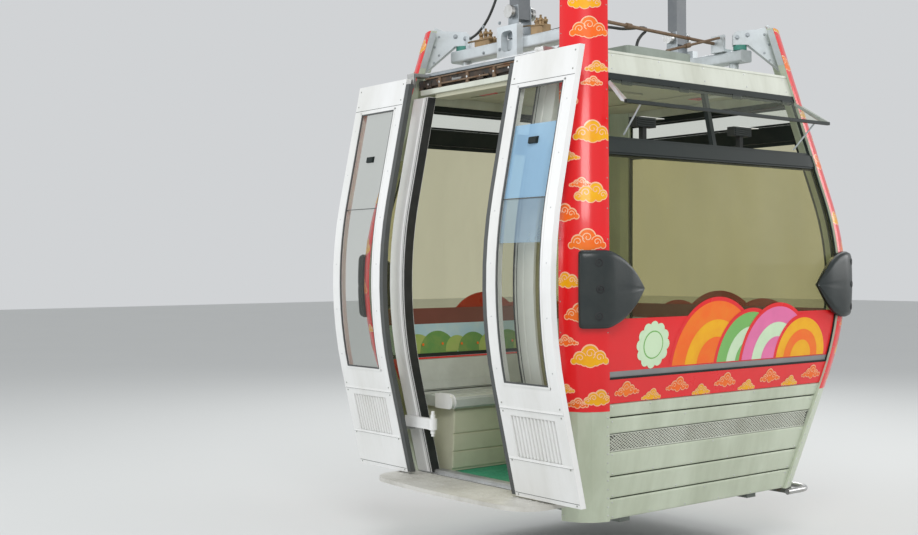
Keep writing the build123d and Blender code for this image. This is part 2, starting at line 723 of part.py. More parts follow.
# ------------------------------------------------------------------ hanger
with BuildPart() as yoke:
    for sx in (-1, 1):
        with Locations((sx * BEAM_X, PIN_Y, (PIN_Z - 38 + CROSS_Z) / 2)):
            Box(LEG_W, LEG_D, CROSS_Z - PIN_Z + 38)
    with Locations((0, PIN_Y, CROSS_Z + 40)):
        Box(2 * BEAM_X + LEG_W, LEG_D, 90)
    for sx in (-1, 1):
        with BuildSketch(Plane(origin=(0, PIN_Y - LEG_D / 2, 0), x_dir=(1, 0, 0), z_dir=(0, -1, 0))):
            with BuildLine():
                Polyline((sx * (BEAM_X - 38), CROSS_Z - 140), (sx * (BEAM_X - 38), CROSS_Z), (sx * (BEAM_X - 190), CROSS_Z), close=True)
            make_face()
        extrude(amount=-LEG_D)
    for sx in (-1, 1):
        with Locations(Location((sx * BEAM_X, PIN_Y, PIN_Z), (0, 90, 0))):
            Cylinder(22.5, 200, mode=Mode.SUBTRACT)
save(yoke.part, "hanger_yoke")

# C shaped hanger arm: from the cross bar up beside the rope and back over it
ARM_SIDE = 230.0
JAW_X = -95.0
JAW_Z = ROPE_Z - 18.0
with BuildPart() as arm:
    with BuildLine() as line:
        FilletPolyline((0, 0, CROSS_Z + 90), (0, 0, 3130), (ARM_SIDE, 0, 3420), (ARM_SIDE, 0, SWING_Z - 12), radius=130)
    with BuildSketch(Plane.XY.offset(CROSS_Z + 90)):
        RectangleRounded(110, 76, 16)
    sweep()
    with BuildSketch(Plane.XY.offset(CROSS_Z + 85.5)):
        RectangleRounded(220, 68, 8)
    extrude(amount=16)
    with Locations(Location((ARM_SIDE, 0, SWING_Z), (0, 90, 0))):
        Cylinder(72, 110)
        Cylinder(32.32, 130, mode=Mode.SUBTRACT)
save(arm.part, "hanger_arm")

# ------------------------------------------------------------------ grip
with BuildPart() as gripbody:
    # two cheeks either side of the hanger eye, joined over the top, with a body reaching over the rope
    for dx in (-76.0, 76.0):
        with Locations((ARM_SIDE + dx, 0, SWING_Z + 50)):
            Box(26, 190, 240)
    with Locations((ARM_SIDE, 0, SWING_Z + 185)):
        Box(178, 190, 60)
    with Locations((70, 0, SWING_Z + 275)):
        Box(420, 150, 121)
    for dx in (-76.0, 76.0):
        with Locations(Location((ARM_SIDE + dx, 0, SWING_Z), (0, 90, 0))):
            Cylinder(32.3, 40, mode=Mode.SUBTRACT)
    # fixed jaw: comes down on the far side of the rope
    with BuildSketch(Plane(origin=(0, -75, 0), x_dir=(1, 0, 0), z_dir=(0, -1, 0))):
        with BuildLine():
            Polyline((14, ROPE_Z + 17.5), (14, ROPE_Z + 20), (110, ROPE_Z + 20), (96, ROPE_Z - 34), (14, ROPE_Z - 34), (14, ROPE_Z - 17.5))
            ThreePointArc((14, ROPE_Z - 17.5), (22.4, ROPE_Z), (14, ROPE_Z + 17.5))
        make_face()
    extrude(amount=-150)
    # ears that carry the moving jaw
    for y in (-63.0, 63.0):
        with Locations((JAW_X, y, ROPE_Z + 1)):
            Box(64, 14, 70)
    with Locations(Location((JAW_X, 0, JAW_Z), (90, 0, 0))):
        Cylinder(12.0, 180, mode=Mode.SUBTRACT)
save(gripbody.part, "grip_body")

with BuildPart() as hpin:
    with Locations(Location((ARM_SIDE, 0, SWING_Z), (0, 90, 0))):
        Cylinder(32.25, 220)
save(hpin.part, "hanger_pin")

with BuildPart() as jpin:
    with Locations(Location((JAW_X, 0, JAW_Z), (90, 0, 0))):
        Cylinder(11.95, 150)
save(jpin.part, "jaw_pin")

with BuildPart() as jaw:
    with BuildSketch(Plane(origin=(0, -52, 0), x_dir=(1, 0, 0), z_dir=(0, -1, 0))):
        with BuildLine():
            Polyline((-21.834, ROPE_Z + 5), (-40, ROPE_Z + 3), (JAW_X, ROPE_Z + 3), (JAW_X - 24, ROPE_Z - 6),
                     (-205, ROPE_Z - 52), (-205, ROPE_Z - 78), (-180, ROPE_Z - 78), (JAW_X - 8, ROPE_Z - 40),
                     (-30, ROPE_Z - 34), (-14, ROPE_Z - 26), (-14, ROPE_Z - 17.5))
            ThreePointArc((-14, ROPE_Z - 17.5), (-21.834, ROPE_Z - 5), (-21.834, ROPE_Z + 5))
        make_face()
    extrude(amount=-104)
    with Locations(Location((JAW_X, 0, JAW_Z), (90, 0, 0))):
        Cylinder(12.0, 180, mode=Mode.SUBTRACT)
save(jaw.part, "grip_jaw")

ROLLER_Z = ROPE_Z + 75.0
with BuildPart() as rollshaft:
    with Locations(Location((-175, 0, ROLLER_Z), (0, 90, 0))):
        Cylinder(20, 70)
    with Locations(Location((318, 0, ROLLER_Z), (0, 90, 0))):
        Cylinder(20, 76)
save(rollshaft.part, "roller_shafts")
# columns: name, X of the roller's middle
for word, x in (("inner", -190.0), ("outer", 336.0)):
    with BuildPart() as roller:
        with Locations(Location((x, 0, ROLLER_Z), (0, 90, 0))):
            Cylinder(58, 30)
            Cylinder(20.05, 60, mode=Mode.SUBTRACT)
    save(roller.part, "grip_roller_" + word)
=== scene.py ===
import bpy
import math
import random
from mathutils import Matrix, Vector


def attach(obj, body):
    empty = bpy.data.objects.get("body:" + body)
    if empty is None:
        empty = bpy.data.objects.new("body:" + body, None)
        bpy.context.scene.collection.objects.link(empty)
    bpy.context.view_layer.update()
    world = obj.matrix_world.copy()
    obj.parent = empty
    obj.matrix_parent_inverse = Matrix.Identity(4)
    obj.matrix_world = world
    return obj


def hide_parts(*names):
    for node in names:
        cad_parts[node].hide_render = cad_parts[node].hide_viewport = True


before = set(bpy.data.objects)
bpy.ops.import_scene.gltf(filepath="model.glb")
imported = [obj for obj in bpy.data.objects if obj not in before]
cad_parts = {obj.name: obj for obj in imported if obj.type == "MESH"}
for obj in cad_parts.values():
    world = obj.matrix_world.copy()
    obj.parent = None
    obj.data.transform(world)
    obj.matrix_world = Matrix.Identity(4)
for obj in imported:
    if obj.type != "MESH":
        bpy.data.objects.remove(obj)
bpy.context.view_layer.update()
rnd = random.Random(11)

# ------------------------------------------------------------------ dimensions (metres)
ZO = -4.0                # row height of the cabin's bottom edge
END_HALF, SIDE_HALF, CORNER_R = 0.662, 0.542, 0.145
SLOPE_LOW, SLOPE_UP = 0.2356, 0.2134
WAIST_Z, WAIST_D = 1.082, 0.459
PROUD = 0.014


def bulge(z):
    z0, z1 = WAIST_Z - WAIST_D, WAIST_Z + WAIST_D
    if z < z0:
        return SLOPE_LOW * z
    if z < z1:
        return SLOPE_LOW * z - (SLOPE_LOW + SLOPE_UP) * (z - z0) ** 2 / (4 * WAIST_D)
    return SLOPE_LOW * WAIST_Z - SLOPE_UP * (z - WAIST_Z)


def wall_x(z):
    return END_HALF + CORNER_R + bulge(z)


def wall_y(z):
    return SIDE_HALF + CORNER_R + bulge(z)


# ------------------------------------------------------------------ camera
C = Vector((-4.803, -4.7791, -2.8032))
yaw, pitch, roll = math.radians(-38.5282), math.radians(-0.078), math.radians(-0.2677)
F = Vector((-math.sin(yaw) * math.cos(pitch), math.cos(yaw) * math.cos(pitch), math.sin(pitch)))
R = Vector((math.cos(yaw), math.sin(yaw), 0.0))
U = R.cross(F)
R2 = R * math.cos(roll) + U * math.sin(roll)
U2 = R2.cross(F)
cam_data = bpy.data.cameras.new("camera")
cam = bpy.data.objects.new("camera", cam_data)
bpy.context.scene.collection.objects.link(cam)
m = Matrix.Identity(4)
for i, v in enumerate((R2, U2, -F, C)):
    for j in range(3):
        m[j][i] = v[j]
cam.matrix_world = m
cam_data.sensor_fit = "HORIZONTAL"
cam_data.sensor_width = 36.0
cam_data.lens = 48.478
cam_data.clip_end = 200.0
bpy.context.scene.camera = cam

# ------------------------------------------------------------------ materials
MATS = {}


def mat(name, base, rough=0.5, metal=0.0, dirt=None, dirt_amt=0.25, scale=3.0, vary=0.06, bump=0.0,
        bump_scale=60.0, coat=0.0, spec=0.5, streak=False, rust=0.0, rust_scale=9.0):
    """Painted or moulded surface: base colour with soft variation, dirt, fine bump and optional rust spots."""
    mt = bpy.data.materials.new(name)
    mt.use_nodes = True
    nt = mt.node_tree
    b = nt.nodes["Principled BSDF"]
    b.inputs["Metallic"].default_value = metal
    b.inputs["Coat Weight"].default_value = coat
    b.inputs["Coat Roughness"].default_value = 0.12
    b.inputs["Specular IOR Level"].default_value = spec
    tc = nt.nodes.new("ShaderNodeTexCoord")
    mp = nt.nodes.new("ShaderNodeMapping")
    nt.links.new(tc.outputs["Object"], mp.inputs["Vector"])
    if streak:
        mp.inputs["Scale"].default_value = (1.0, 1.0, 0.16)
    n1 = nt.nodes.new("ShaderNodeTexNoise")
    n1.inputs["Scale"].default_value = scale
    n1.inputs["Detail"].default_value = 6.0
    n1.inputs["Roughness"].default_value = 0.62
    nt.links.new(mp.outputs["Vector"], n1.inputs["Vector"])
    ramp = nt.nodes.new("ShaderNodeValToRGB")
    ramp.color_ramp.elements[0].position = 0.42
    ramp.color_ramp.elements[1].position = 0.78
    dark = dirt if dirt else tuple(c * 0.55 for c in base)
    k = dirt_amt
    ramp.color_ramp.elements[0].color = (*[min(1, c * (1 + vary)) for c in base], 1)
    ramp.color_ramp.elements[1].color = (*[c * (1 - k) + d * k for c, d in zip(base, dark)], 1)
    nt.links.new(n1.outputs["Fac"], ramp.inputs["Fac"])
    col = ramp.outputs["Color"]
    n2 = nt.nodes.new("ShaderNodeTexNoise")
    n2.inputs["Scale"].default_value = bump_scale
    n2.inputs["Detail"].default_value = 4.0
    nt.links.new(tc.outputs["Object"], n2.inputs["Vector"])
    if rust > 0:
        n3 = nt.nodes.new("ShaderNodeTexNoise")
        n3.inputs["Scale"].default_value = rust_scale
        n3.inputs["Detail"].default_value = 9.0
        n3.inputs["Roughness"].default_value = 0.72
        nt.links.new(tc.outputs["Object"], n3.inputs["Vector"])
        r2 = nt.nodes.new("ShaderNodeValToRGB")
        r2.color_ramp.elements[0].position = 0.66 - 0.22 * rust
        r2.color_ramp.elements[1].position = 0.72 - 0.18 * rust
        nt.links.new(n3.outputs["Fac"], r2.inputs["Fac"])
        mx = nt.nodes.new("ShaderNodeMix")
        mx.data_type = "RGBA"
        nt.links.new(r2.outputs["Color"], mx.inputs["Factor"])
        nt.links.new(col, mx.inputs["A"])
        mx.inputs["B"].default_value = (0.16, 0.075, 0.03, 1)
        col = mx.outputs["Result"]
    nt.links.new(col, b.inputs["Base Color"])
    mr = nt.nodes.new("ShaderNodeMapRange")
    mr.inputs["To Min"].default_value = max(0.03, rough - 0.09)
    mr.inputs["To Max"].default_value = min(1.0, rough + 0.12)
    nt.links.new(n1.outputs["Fac"], mr.inputs["Value"])
    nt.links.new(mr.outputs["Result"], b.inputs["Roughness"])
    if bump > 0:
        bp = nt.nodes.new("ShaderNodeBump")
        bp.inputs["Strength"].default_value = bump
        bp.inputs["Distance"].default_value = 0.002
        nt.links.new(n2.outputs["Fac"], bp.inputs["Height"])
        nt.links.new(bp.outputs["Normal"], b.inputs["Normal"])
    MATS[name] = mt
    return mt


def glass(name, tint, dust, dusty=0.035, rough=0.05, streak=0.03, graze=4.0):
    """Thin tinted pane: see-through in its tint, with a film of dust and surface reflections."""
    mt = bpy.data.materials.new(name)
    mt.use_nodes = True
    nt = mt.node_tree
    b = nt.nodes["Principled BSDF"]
    out = nt.nodes["Material Output"]
    b.inputs["Base Color"].default_value = (*dust, 1)
    b.inputs["Roughness"].default_value = rough
    b.inputs["Specular IOR Level"].default_value = 0.35
    tr = nt.nodes.new("ShaderNodeBsdfTransparent")
    tr.inputs["Color"].default_value = (*tint, 1)
    tc = nt.nodes.new("ShaderNodeTexCoord")
    mp = nt.nodes.new("ShaderNodeMapping")
    mp.inputs["Scale"].default_value = (1.0, 1.0, 0.35)
    n = nt.nodes.new("ShaderNodeTexNoise")
    n.inputs["Scale"].default_value = 4.0
    n.inputs["Detail"].default_value = 5.0
    nt.links.new(tc.outputs["Object"], mp.inputs["Vector"])
    nt.links.new(mp.outputs["Vector"], n.inputs["Vector"])
    mr = nt.nodes.new("ShaderNodeMapRange")
    mr.inputs["From Min"].default_value = 0.35
    mr.inputs["From Max"].default_value = 0.75
    mr.inputs["To Min"].default_value = max(0.0, dusty - streak) + 0.025
    mr.inputs["To Max"].default_value = dusty + streak + 0.025
    nt.links.new(n.outputs["Fac"], mr.inputs["Value"])
    lw = nt.nodes.new("ShaderNodeLayerWeight")
    lw.inputs["Blend"].default_value = 0.5
    fr = nt.nodes.new("ShaderNodeMath")
    fr.operation = "POWER"
    fr.inputs[1].default_value = graze
    nt.links.new(lw.outputs["Facing"], fr.inputs[0])
    add = nt.nodes.new("ShaderNodeMath")
    add.operation = "ADD"
    add.use_clamp = True
    nt.links.new(mr.outputs["Result"], add.inputs[0])
    nt.links.new(fr.outputs["Value"], add.inputs[1])
    mix = nt.nodes.new("ShaderNodeMixShader")
    nt.links.new(add.outputs["Value"], mix.inputs["Fac"])
    nt.links.new(tr.outputs["BSDF"], mix.inputs[1])
    nt.links.new(b.outputs["BSDF"], mix.inputs[2])
    nt.links.new(mix.outputs["Shader"], out.inputs["Surface"])
    MATS[name] = mt
    return mt


RED = mat("film_red", (0.72, 0.006, 0.010), 0.28, coat=0.3, dirt=(0.55, 0.012, 0.012), dirt_amt=0.25, scale=2.0, spec=0.4)
CREAM = mat("paint_cream", (0.52, 0.57, 0.45), 0.42, dirt=(0.25, 0.28, 0.17), dirt_amt=0.6, scale=3.2, streak=True, bump=0.08, coat=0.1)
CREAM_IN = mat("paint_cream_inside", (0.55, 0.55, 0.42), 0.5, dirt=(0.30, 0.29, 0.20), dirt_amt=0.4, scale=4.0)
WHITE = mat("paint_white", (0.76, 0.76, 0.75), 0.34, dirt=(0.55, 0.54, 0.48), dirt_amt=0.5, scale=3.0, streak=True, coat=0.15)
FASCIA = mat("paint_fascia", (0.60, 0.62, 0.54), 0.45, dirt=(0.34, 0.34, 0.25), dirt_amt=0.6, scale=4.0, streak=True, coat=0.05)
DARK = mat("bar_dark", (0.011, 0.017, 0.016), 0.5, dirt=(0.035, 0.04, 0.035), dirt_amt=0.5, scale=8.0, spec=0.2)
BLACK = mat("rubber_black", (0.012, 0.013, 0.014), 0.55, dirt=(0.05, 0.05, 0.05), dirt_amt=0.5, scale=12.0, bump=0.1)
SEAL = mat("seal_rubber", (0.075, 0.080, 0.080), 0.55, dirt=(0.13, 0.13, 0.115), dirt_amt=0.5, scale=10.0, spec=0.3)
SHADOW = mat("gap_dark", (0.02, 0.022, 0.02), 0.8, scale=20.0)
ALU = mat("aluminium", (0.55, 0.56, 0.56), 0.38, metal=0.85, dirt=(0.30, 0.29, 0.27), dirt_amt=0.5, scale=7.0, bump=0.1, bump_scale=200)
SILVER = mat("gear_silver", (0.54, 0.58, 0.60), 0.4, metal=0.15, dirt=(0.26, 0.27, 0.26), dirt_amt=0.5, scale=6.0, bump=0.12, rust=0.10)
GALV = mat("galvanised", (0.33, 0.36, 0.38), 0.46, metal=0.45, dirt=(0.18, 0.19, 0.19), dirt_amt=0.6, scale=9.0, bump=0.12, bump_scale=120, rust=0.12)
STEEL = mat("steel", (0.45, 0.45, 0.44), 0.32, metal=0.9, dirt=(0.2, 0.18, 0.15), dirt_amt=0.5, scale=14.0)
RUST = mat("steel_rusty", (0.20, 0.135, 0.085), 0.7, metal=0.2, dirt=(0.09, 0.05, 0.03), dirt_amt=0.7, scale=18.0, bump=0.3, rust=0.5)
UNDER = mat("underbody", (0.20, 0.22, 0.20), 0.7, dirt=(0.09, 0.08, 0.06), dirt_amt=0.6, scale=5.0, bump=0.2, rust=0.25)
STEP = mat("step_plate", (0.56, 0.55, 0.51), 0.55, dirt=(0.33, 0.31, 0.26), dirt_amt=0.6, scale=5.0, bump=0.2, bump_scale=160)
GREEN = mat("floor_green", (0.030, 0.34, 0.19), 0.45, dirt=(0.03, 0.16, 0.10), dirt_amt=0.6, scale=5.0, bump=0.2, bump_scale=90)
CEIL = mat("ceiling_beige", (0.50, 0.49, 0.37), 0.6, dirt=(0.33, 0.31, 0.22), dirt_amt=0.4, scale=2.0)
BENCH = mat("bench_grey", (0.48, 0.51, 0.49), 0.42, dirt=(0.27, 0.28, 0.26), dirt_amt=0.4, scale=5.0, bump=0.06)
BUMP = mat("bumper_plastic", (0.020, 0.026, 0.026), 0.34, dirt=(0.042, 0.048, 0.044), dirt_amt=0.6, scale=7.0, bump=0.22, bump_scale=240, spec=0.4)
GREENRUB = mat("mount_rubber", (0.055, 0.24, 0.19), 0.6, dirt=(0.05, 0.10, 0.08), dirt_amt=0.5, scale=10.0)
SERVICE = mat("service_grey", (0.26, 0.30, 0.26), 0.5, dirt=(0.14, 0.15, 0.12), dirt_amt=0.5, scale=6.0)
HOSE = mat("hose_black", (0.022, 0.025, 0.024), 0.5, dirt=(0.07, 0.07, 0.06), dirt_amt=0.6, scale=25.0, bump=0.3, bump_scale=300)
TREAD = mat("roller_tread", (0.03, 0.03, 0.03), 0.6, dirt=(0.10, 0.09, 0.08), dirt_amt=0.5, scale=20.0, bump=0.2)
OUTLINE = mat("film_light", (0.86, 0.50, 0.30), 0.3, coat=0.3, scale=4.0)
YEL = mat("film_yellow", (0.80, 0.40, 0.004), 0.36, coat=0.15, dirt=(0.80, 0.26, 0.006), dirt_amt=0.7, scale=9.0, spec=0.25)
ORA = mat("film_orange", (0.82, 0.13, 0.010), 0.36, coat=0.15, dirt=(0.82, 0.24, 0.012), dirt_amt=0.8, scale=8.0, spec=0.25)
BANDGREY = mat("film_grey", (0.20, 0.20, 0.20), 0.4, dirt=(0.33, 0.33, 0.32), dirt_amt=0.5, scale=6.0)
F_GREEN = mat("film_green", (0.16, 0.42, 0.09), 0.3, coat=0.3, scale=5.0)
F_PINK = mat("film_pink", (0.72, 0.14, 0.34), 0.3, coat=0.3, scale=5.0)
F_PALE = mat("film_pale", (0.56, 0.72, 0.48), 0.32, coat=0.3, scale=5.0)
FILM_BACK = mat("film_back", (0.15, 0.030, 0.022), 0.45, scale=5.0)
CREASE = mat("crease_line", (0.30, 0.31, 0.28), 0.6, scale=20.0)
GLASS = glass("window_pane", (0.86, 0.84, 0.70), (0.30, 0.31, 0.22), 0.045, rough=0.22, graze=5.0)
GLASS_FAINT = glass("sliding_pane_low", (0.80, 0.88, 0.95), (0.42, 0.58, 0.74), 0.34, rough=0.10)
LEG = mat("hanger_grey", (0.12, 0.13, 0.14), 0.45, metal=0.2, dirt=(0.22, 0.23, 0.23), dirt_amt=0.6, scale=7.0, bump=0.15, rust=0.10)
BRASS = mat("valve_brass", (0.30, 0.20, 0.10), 0.45, metal=0.4, dirt=(0.14, 0.09, 0.05), dirt_amt=0.7, scale=16.0, bump=0.2)
TRAY = mat("tray_brown", (0.33, 0.20, 0.09), 0.6, dirt=(0.18, 0.12, 0.07), dirt_amt=0.6, scale=9.0, bump=0.2)
# dark grey backing behind the vent slats and the expanded metal: painted shade in the vent openings
VENT_SHADE_BACK = mat("vent_back_painted_shade", (0.12, 0.12, 0.11), 0.6, scale=9.0)
PLATE = mat("blank_plate", (0.72, 0.72, 0.70), 0.4, scale=6.0)
SKYB = mat("print_sky", (0.36, 0.55, 0.66), 0.5, dirt=(0.60, 0.68, 0.66), dirt_amt=0.8, scale=7.0)
HILL_A = mat("print_green", (0.10, 0.26, 0.06), 0.5, dirt=(0.28, 0.36, 0.08), dirt_amt=0.8, scale=12.0)
HILL_B = mat("print_light_green", (0.30, 0.42, 0.10), 0.5, dirt=(0.44, 0.48, 0.16), dirt_amt=0.8, scale=12.0)
MECH = mat("mechanism_dark", (0.030, 0.026, 0.022), 0.6, dirt=(0.14, 0.08, 0.045), dirt_amt=0.8, scale=14.0, bump=0.3, rust=0.35, rust_scale=22.0, spec=0.3)
GLASS_UP = glass("flap_pane", (0.95, 0.96, 0.92), (0.30, 0.32, 0.27), 0.0, streak=0.012, graze=9.0)
GLASS_DOOR = glass("door_pane", (0.93, 0.94, 0.92), (0.34, 0.35, 0.33), 0.025, streak=0.02)
GLASS_BLUE = glass("sliding_pane", (0.66, 0.82, 0.95), (0.34, 0.56, 0.78), 0.62, rough=0.12, streak=0.05)

NODE_MAT = {
    "air_inlets": SHADOW, "band_panels": RED, "beam_pedestals": SILVER, "bench_backs": BENCH, "bench_bases": CREAM_IN,
    "bench_seats": BENCH, "bottom_panels": CREAM, "bracket_boxes": SILVER, "carrying_pins": STEEL, "ceiling": CEIL,
    "corner_bumpers": BUMP, "corner_posts": CREAM, "door_carriers": STEEL, "door_drive_rods": RUST, "door_edge_seals": SEAL,
    "door_jambs": WHITE, "door_leaf_far": WHITE, "door_leaf_near": WHITE, "door_mechanism": CEIL, "door_panes": GLASS_DOOR,
    "door_sill": ALU, "door_step": STEP, "door_track": GALV, "floor_mat": GREEN, "floor_pan": UNDER, "grip_body": GALV,
    "grip_jaw": STEEL, "grip_roller_inner": TREAD, "grip_roller_outer": TREAD, "guide_tube": STEEL, "hanger_arm": LEG,
    "hanger_pin": STEEL, "hanger_yoke": LEG, "header_rail": MECH, "jaw_pin": STEEL, "lower_panels": CREAM,
    "main_windows": GLASS, "mid_bars": DARK, "pin_lugs": GALV, "quarter_windows": GLASS, "roller_shafts": STEEL,
    "roof_beams": SILVER, "roof_fascias": FASCIA, "roof_skin": FASCIA, "rubber_mounts": GREENRUB, "service_box": SERVICE,
    "shoulder_arms": SILVER, "top_windows": GLASS_UP, "top_bars": DARK, "underframe": UNDER, "vent_flap_glass": GLASS_UP,
    # the vent plates take the dark vent backing: painted shade behind the expanded metal
    "vent_flap_rails": DARK, "vent_mullions": DARK, "vent_plates": VENT_SHADE_BACK, "rod_posts": SILVER, "valve_blocks": BRASS,
    "drop_cable": HOSE, "air_hose": HOSE, "cable_clamps": SILVER, "door_arms": WHITE,
}
for name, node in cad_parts.items():
    for s in node.material_slots:
        s.material = NODE_MAT[name]


# ------------------------------------------------------------------ mesh helpers
def piece(name, verts, faces, material, body="cabin", smooth=False):
    me = bpy.data.meshes.new(name)
    me.from_pydata([tuple(v) for v in verts], [], faces)
    me.update()
    me.validate()
    if smooth:
        for p in me.polygons:
            p.use_smooth = True
    me.materials.append(material)
    ob = bpy.data.objects.new(name, me)
    bpy.context.scene.collection.objects.link(ob)
    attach(ob, body)
    return ob


class Heap:
    """Collects many small shapes into one mesh."""

    def __init__(self):
        self.v, self.f = [], []

    def add(self, verts, faces):
        n = len(self.v)
        self.v += [Vector(v) for v in verts]
        self.f += [tuple(i + n for i in f) for f in faces]

    def hexa(self, p):
        """Eight corners: 0-3 lower ring, 4-7 upper ring."""
        self.add(p, [(0, 3, 2, 1), (4, 5, 6, 7), (0, 1, 5, 4), (1, 2, 6, 5), (2, 3, 7, 6), (3, 0, 4, 7)])

    def box(self, a, b):
        (x0, y0, z0), (x1, y1, z1) = a, b
        self.hexa([(x0, y0, z0), (x1, y0, z0), (x1, y1, z0), (x0, y1, z0), (x0, y0, z1), (x1, y0, z1), (x1, y1, z1), (x0, y1, z1)])

    def lathe(self, o, axis, profile, n=14):
        """Turned shape: profile is a list of (radius, distance along axis)."""
        axis = Vector(axis).normalized()
        t = Vector((0, 0, 1)) if abs(axis.z) < 0.9 else Vector((1, 0, 0))
        u = axis.cross(t).normalized()
        w = axis.cross(u)
        o = Vector(o)
        vs, fs = [], []
        for r, h in profile:
            for i in range(n):
                a = 2 * math.pi * i / n
                vs.append(o + axis * h + (u * math.cos(a) + w * math.sin(a)) * r)
        for k in range(len(profile) - 1):
            for i in range(n):
                j = (i + 1) % n
                fs.append((k * n + i, k * n + j, (k + 1) * n + j, (k + 1) * n + i))
        fs.append(tuple(range(n - 1, -1, -1)))
        fs.append(tuple((len(profile) - 1) * n + i for i in range(n)))
        self.add(vs, fs)

    def dome(self, o, axis, r, h, n=10):
        self.lathe(o, axis, [(r, -0.0005), (r, h * 0.25), (r * 0.8, h * 0.75), (r * 0.35, h)], n)

    def bolt(self, o, axis, r, h):
        """Washer with a hexagon head."""
        self.lathe(o, axis, [(r * 1.5, -0.0005), (r * 1.5, h * 0.22), (r * 1.45, h * 0.25)], 14)
        self.lathe(o, axis, [(r, h * 0.2), (r, h * 0.9), (r * 0.88, h)], 6)

    def sheet(self, fn, us, vs):
        """Open grid of points fn(u, v)."""
        pts = [fn(u, v) for v in vs for u in us]
        n = len(us)
        fs = [(j * n + i, j * n + i + 1, (j + 1) * n + i + 1, (j + 1) * n + i)
              for j in range(len(vs) - 1) for i in range(n - 1)]
        self.add(pts, fs)

    def done(self, name, material, body="cabin", slot=None, smooth=False):
        return piece(name, self.v, self.f, material, body, smooth)


def spread(a, b, n):
    return [a + (b - a) * i / n for i in range(n + 1)]


def bevel(ob, w=0.003, seg=2, angle=35):
    md = ob.modifiers.new("edges", "BEVEL")
    md.width = w
    md.segments = seg
    md.limit_method = "ANGLE"
    md.angle_limit = math.radians(angle)
    for p in ob.data.polygons:
        p.use_smooth = True
    md2 = ob.modifiers.new("shade", "WEIGHTED_NORMAL")
    md2.keep_sharp = True
    return ob


# walls as surfaces: s runs along the wall, z up, off outward
def end_pt(side):
    return lambda x, z, off: Vector((x, side * (wall_y(z) + off), z + ZO))


def side_pt(side):
    return lambda y, z, off: Vector((side * (wall_x(z) + off), y, z + ZO))


POST_A = (0.0, 8.0, 24.0, 33.0, 57.0, 66.0, 82.0, 90.0)
POST_K = (1.0, 0.998, 0.978, 0.985, 0.985, 0.978, 0.998, 1.0)
POST_LEN = 0.157 * math.pi / 2


def post_pt(sx, sy):
    """Corner post surface: s from the side face (0) round to the end face."""
    def f(s, z, off):
        a = max(0.0, min(90.0, 90.0 * s / POST_LEN))
        k = 1.0
        for a0, a1, k0, k1 in zip(POST_A[:-1], POST_A[1:], POST_K[:-1], POST_K[1:]):
            if a0 <= a <= a1:
                k = k0 + (k1 - k0) * (a - a0) / (a1 - a0)
        t = math.radians(a)
        r = (CORNER_R + PROUD) * k + off * (0.35 if sx > 0 else 1.0)
        return Vector((sx * (END_HALF + bulge(z) + r * math.cos(t)), sy * (SIDE_HALF + bulge(z) + r * math.sin(t)), z + ZO))
    return f


CORNERS = [("nl", -1, -1), ("nr", 1, -1), ("fr", 1, 1), ("fl", -1, 1)]


# ------------------------------------------------------------------ decals on the film
def clip_poly(poly, inside, cut):
    out = []
    for a, b in zip(poly, poly[1:] + poly[:1]):
        ia, ib = inside(a), inside(b)
        if ia:
            out.append(a)
        if ia != ib:
            out.append(cut(a, b))
    return out


def disc(h, surf, s, z, rs, rz, off, bound, seg=26, rings=4, a0=0.0, a1=360.0):
    """Flat disc laid on a surface and cut off at the bound's edges."""
    s0, s1, z0, z1 = bound
    full = a1 - a0 >= 359.0
    for k in range(rings):
        ra, rb = k / rings, (k + 1) / rings
        for i in range(seg):
            t0 = math.radians(a0 + (a1 - a0) * i / seg)
            t1 = math.radians(a0 + (a1 - a0) * (i + 1) / seg)
            poly = [(s + rs * rb * math.cos(t0), z + rz * rb * math.sin(t0)), (s + rs * rb * math.cos(t1), z + rz * rb * math.sin(t1))]
            poly += [(s + rs * ra * math.cos(t1), z + rz * ra * math.sin(t1)), (s + rs * ra * math.cos(t0), z + rz * ra * math.sin(t0))] if k else [(s, z)]
            lay(h, surf, poly, off, bound)


def lay(h, surf, poly, off, bound):
    s0, s1, z0, z1 = bound
    xs = [p[0] for p in poly]
    zs = [p[1] for p in poly]
    if min(xs) < s0 or max(xs) > s1 or min(zs) < z0 or max(zs) > z1:
        for ax, lim, sign in ((0, s0, 1), (0, s1, -1), (1, z0, 1), (1, z1, -1)):
            def inside(p):
                return (p[ax] - lim) * sign >= 0

            def cut(a, b):
                t = (lim - a[ax]) / (b[ax] - a[ax])
                return (a[0] + (b[0] - a[0]) * t, a[1] + (b[1] - a[1]) * t)
            poly = clip_poly(poly, inside, cut)
            if len(poly) < 3:
                return
    h.add([surf(a, b, off) for a, b in poly], [tuple(range(len(poly)))])


def ribbon(h, surf, pts, w, off, bound):
    """Line of width w along points on the surface."""
    left, right = [], []
    for i, p in enumerate(pts):
        a = pts[max(0, i - 1)]
        b = pts[min(len(pts) - 1, i + 1)]
        dx, dz = b[0] - a[0], b[1] - a[1]
        n = math.hypot(dx, dz) or 1.0
        dx, dz = dx / n * w / 2, dz / n * w / 2
        left.append((p[0] - dz, p[1] + dx))
        right.append((p[0] + dz, p[1] - dx))
    for i in range(len(pts) - 1):
        lay(h, surf, [right[i], right[i + 1], left[i + 1], left[i]], off, bound)


def curl(cx, cz, r, turns, start, hand=1, n=26):
    """Spiral line that closes in on its centre."""
    pts = []
    for i in range(n + 1):
        t = i / n
        a = math.radians(start) + hand * turns * 2 * math.pi * t
        rr = r * (1 - 0.82 * t)
        pts.append((cx + rr * math.cos(a), cz + rr * math.sin(a)))
    return pts


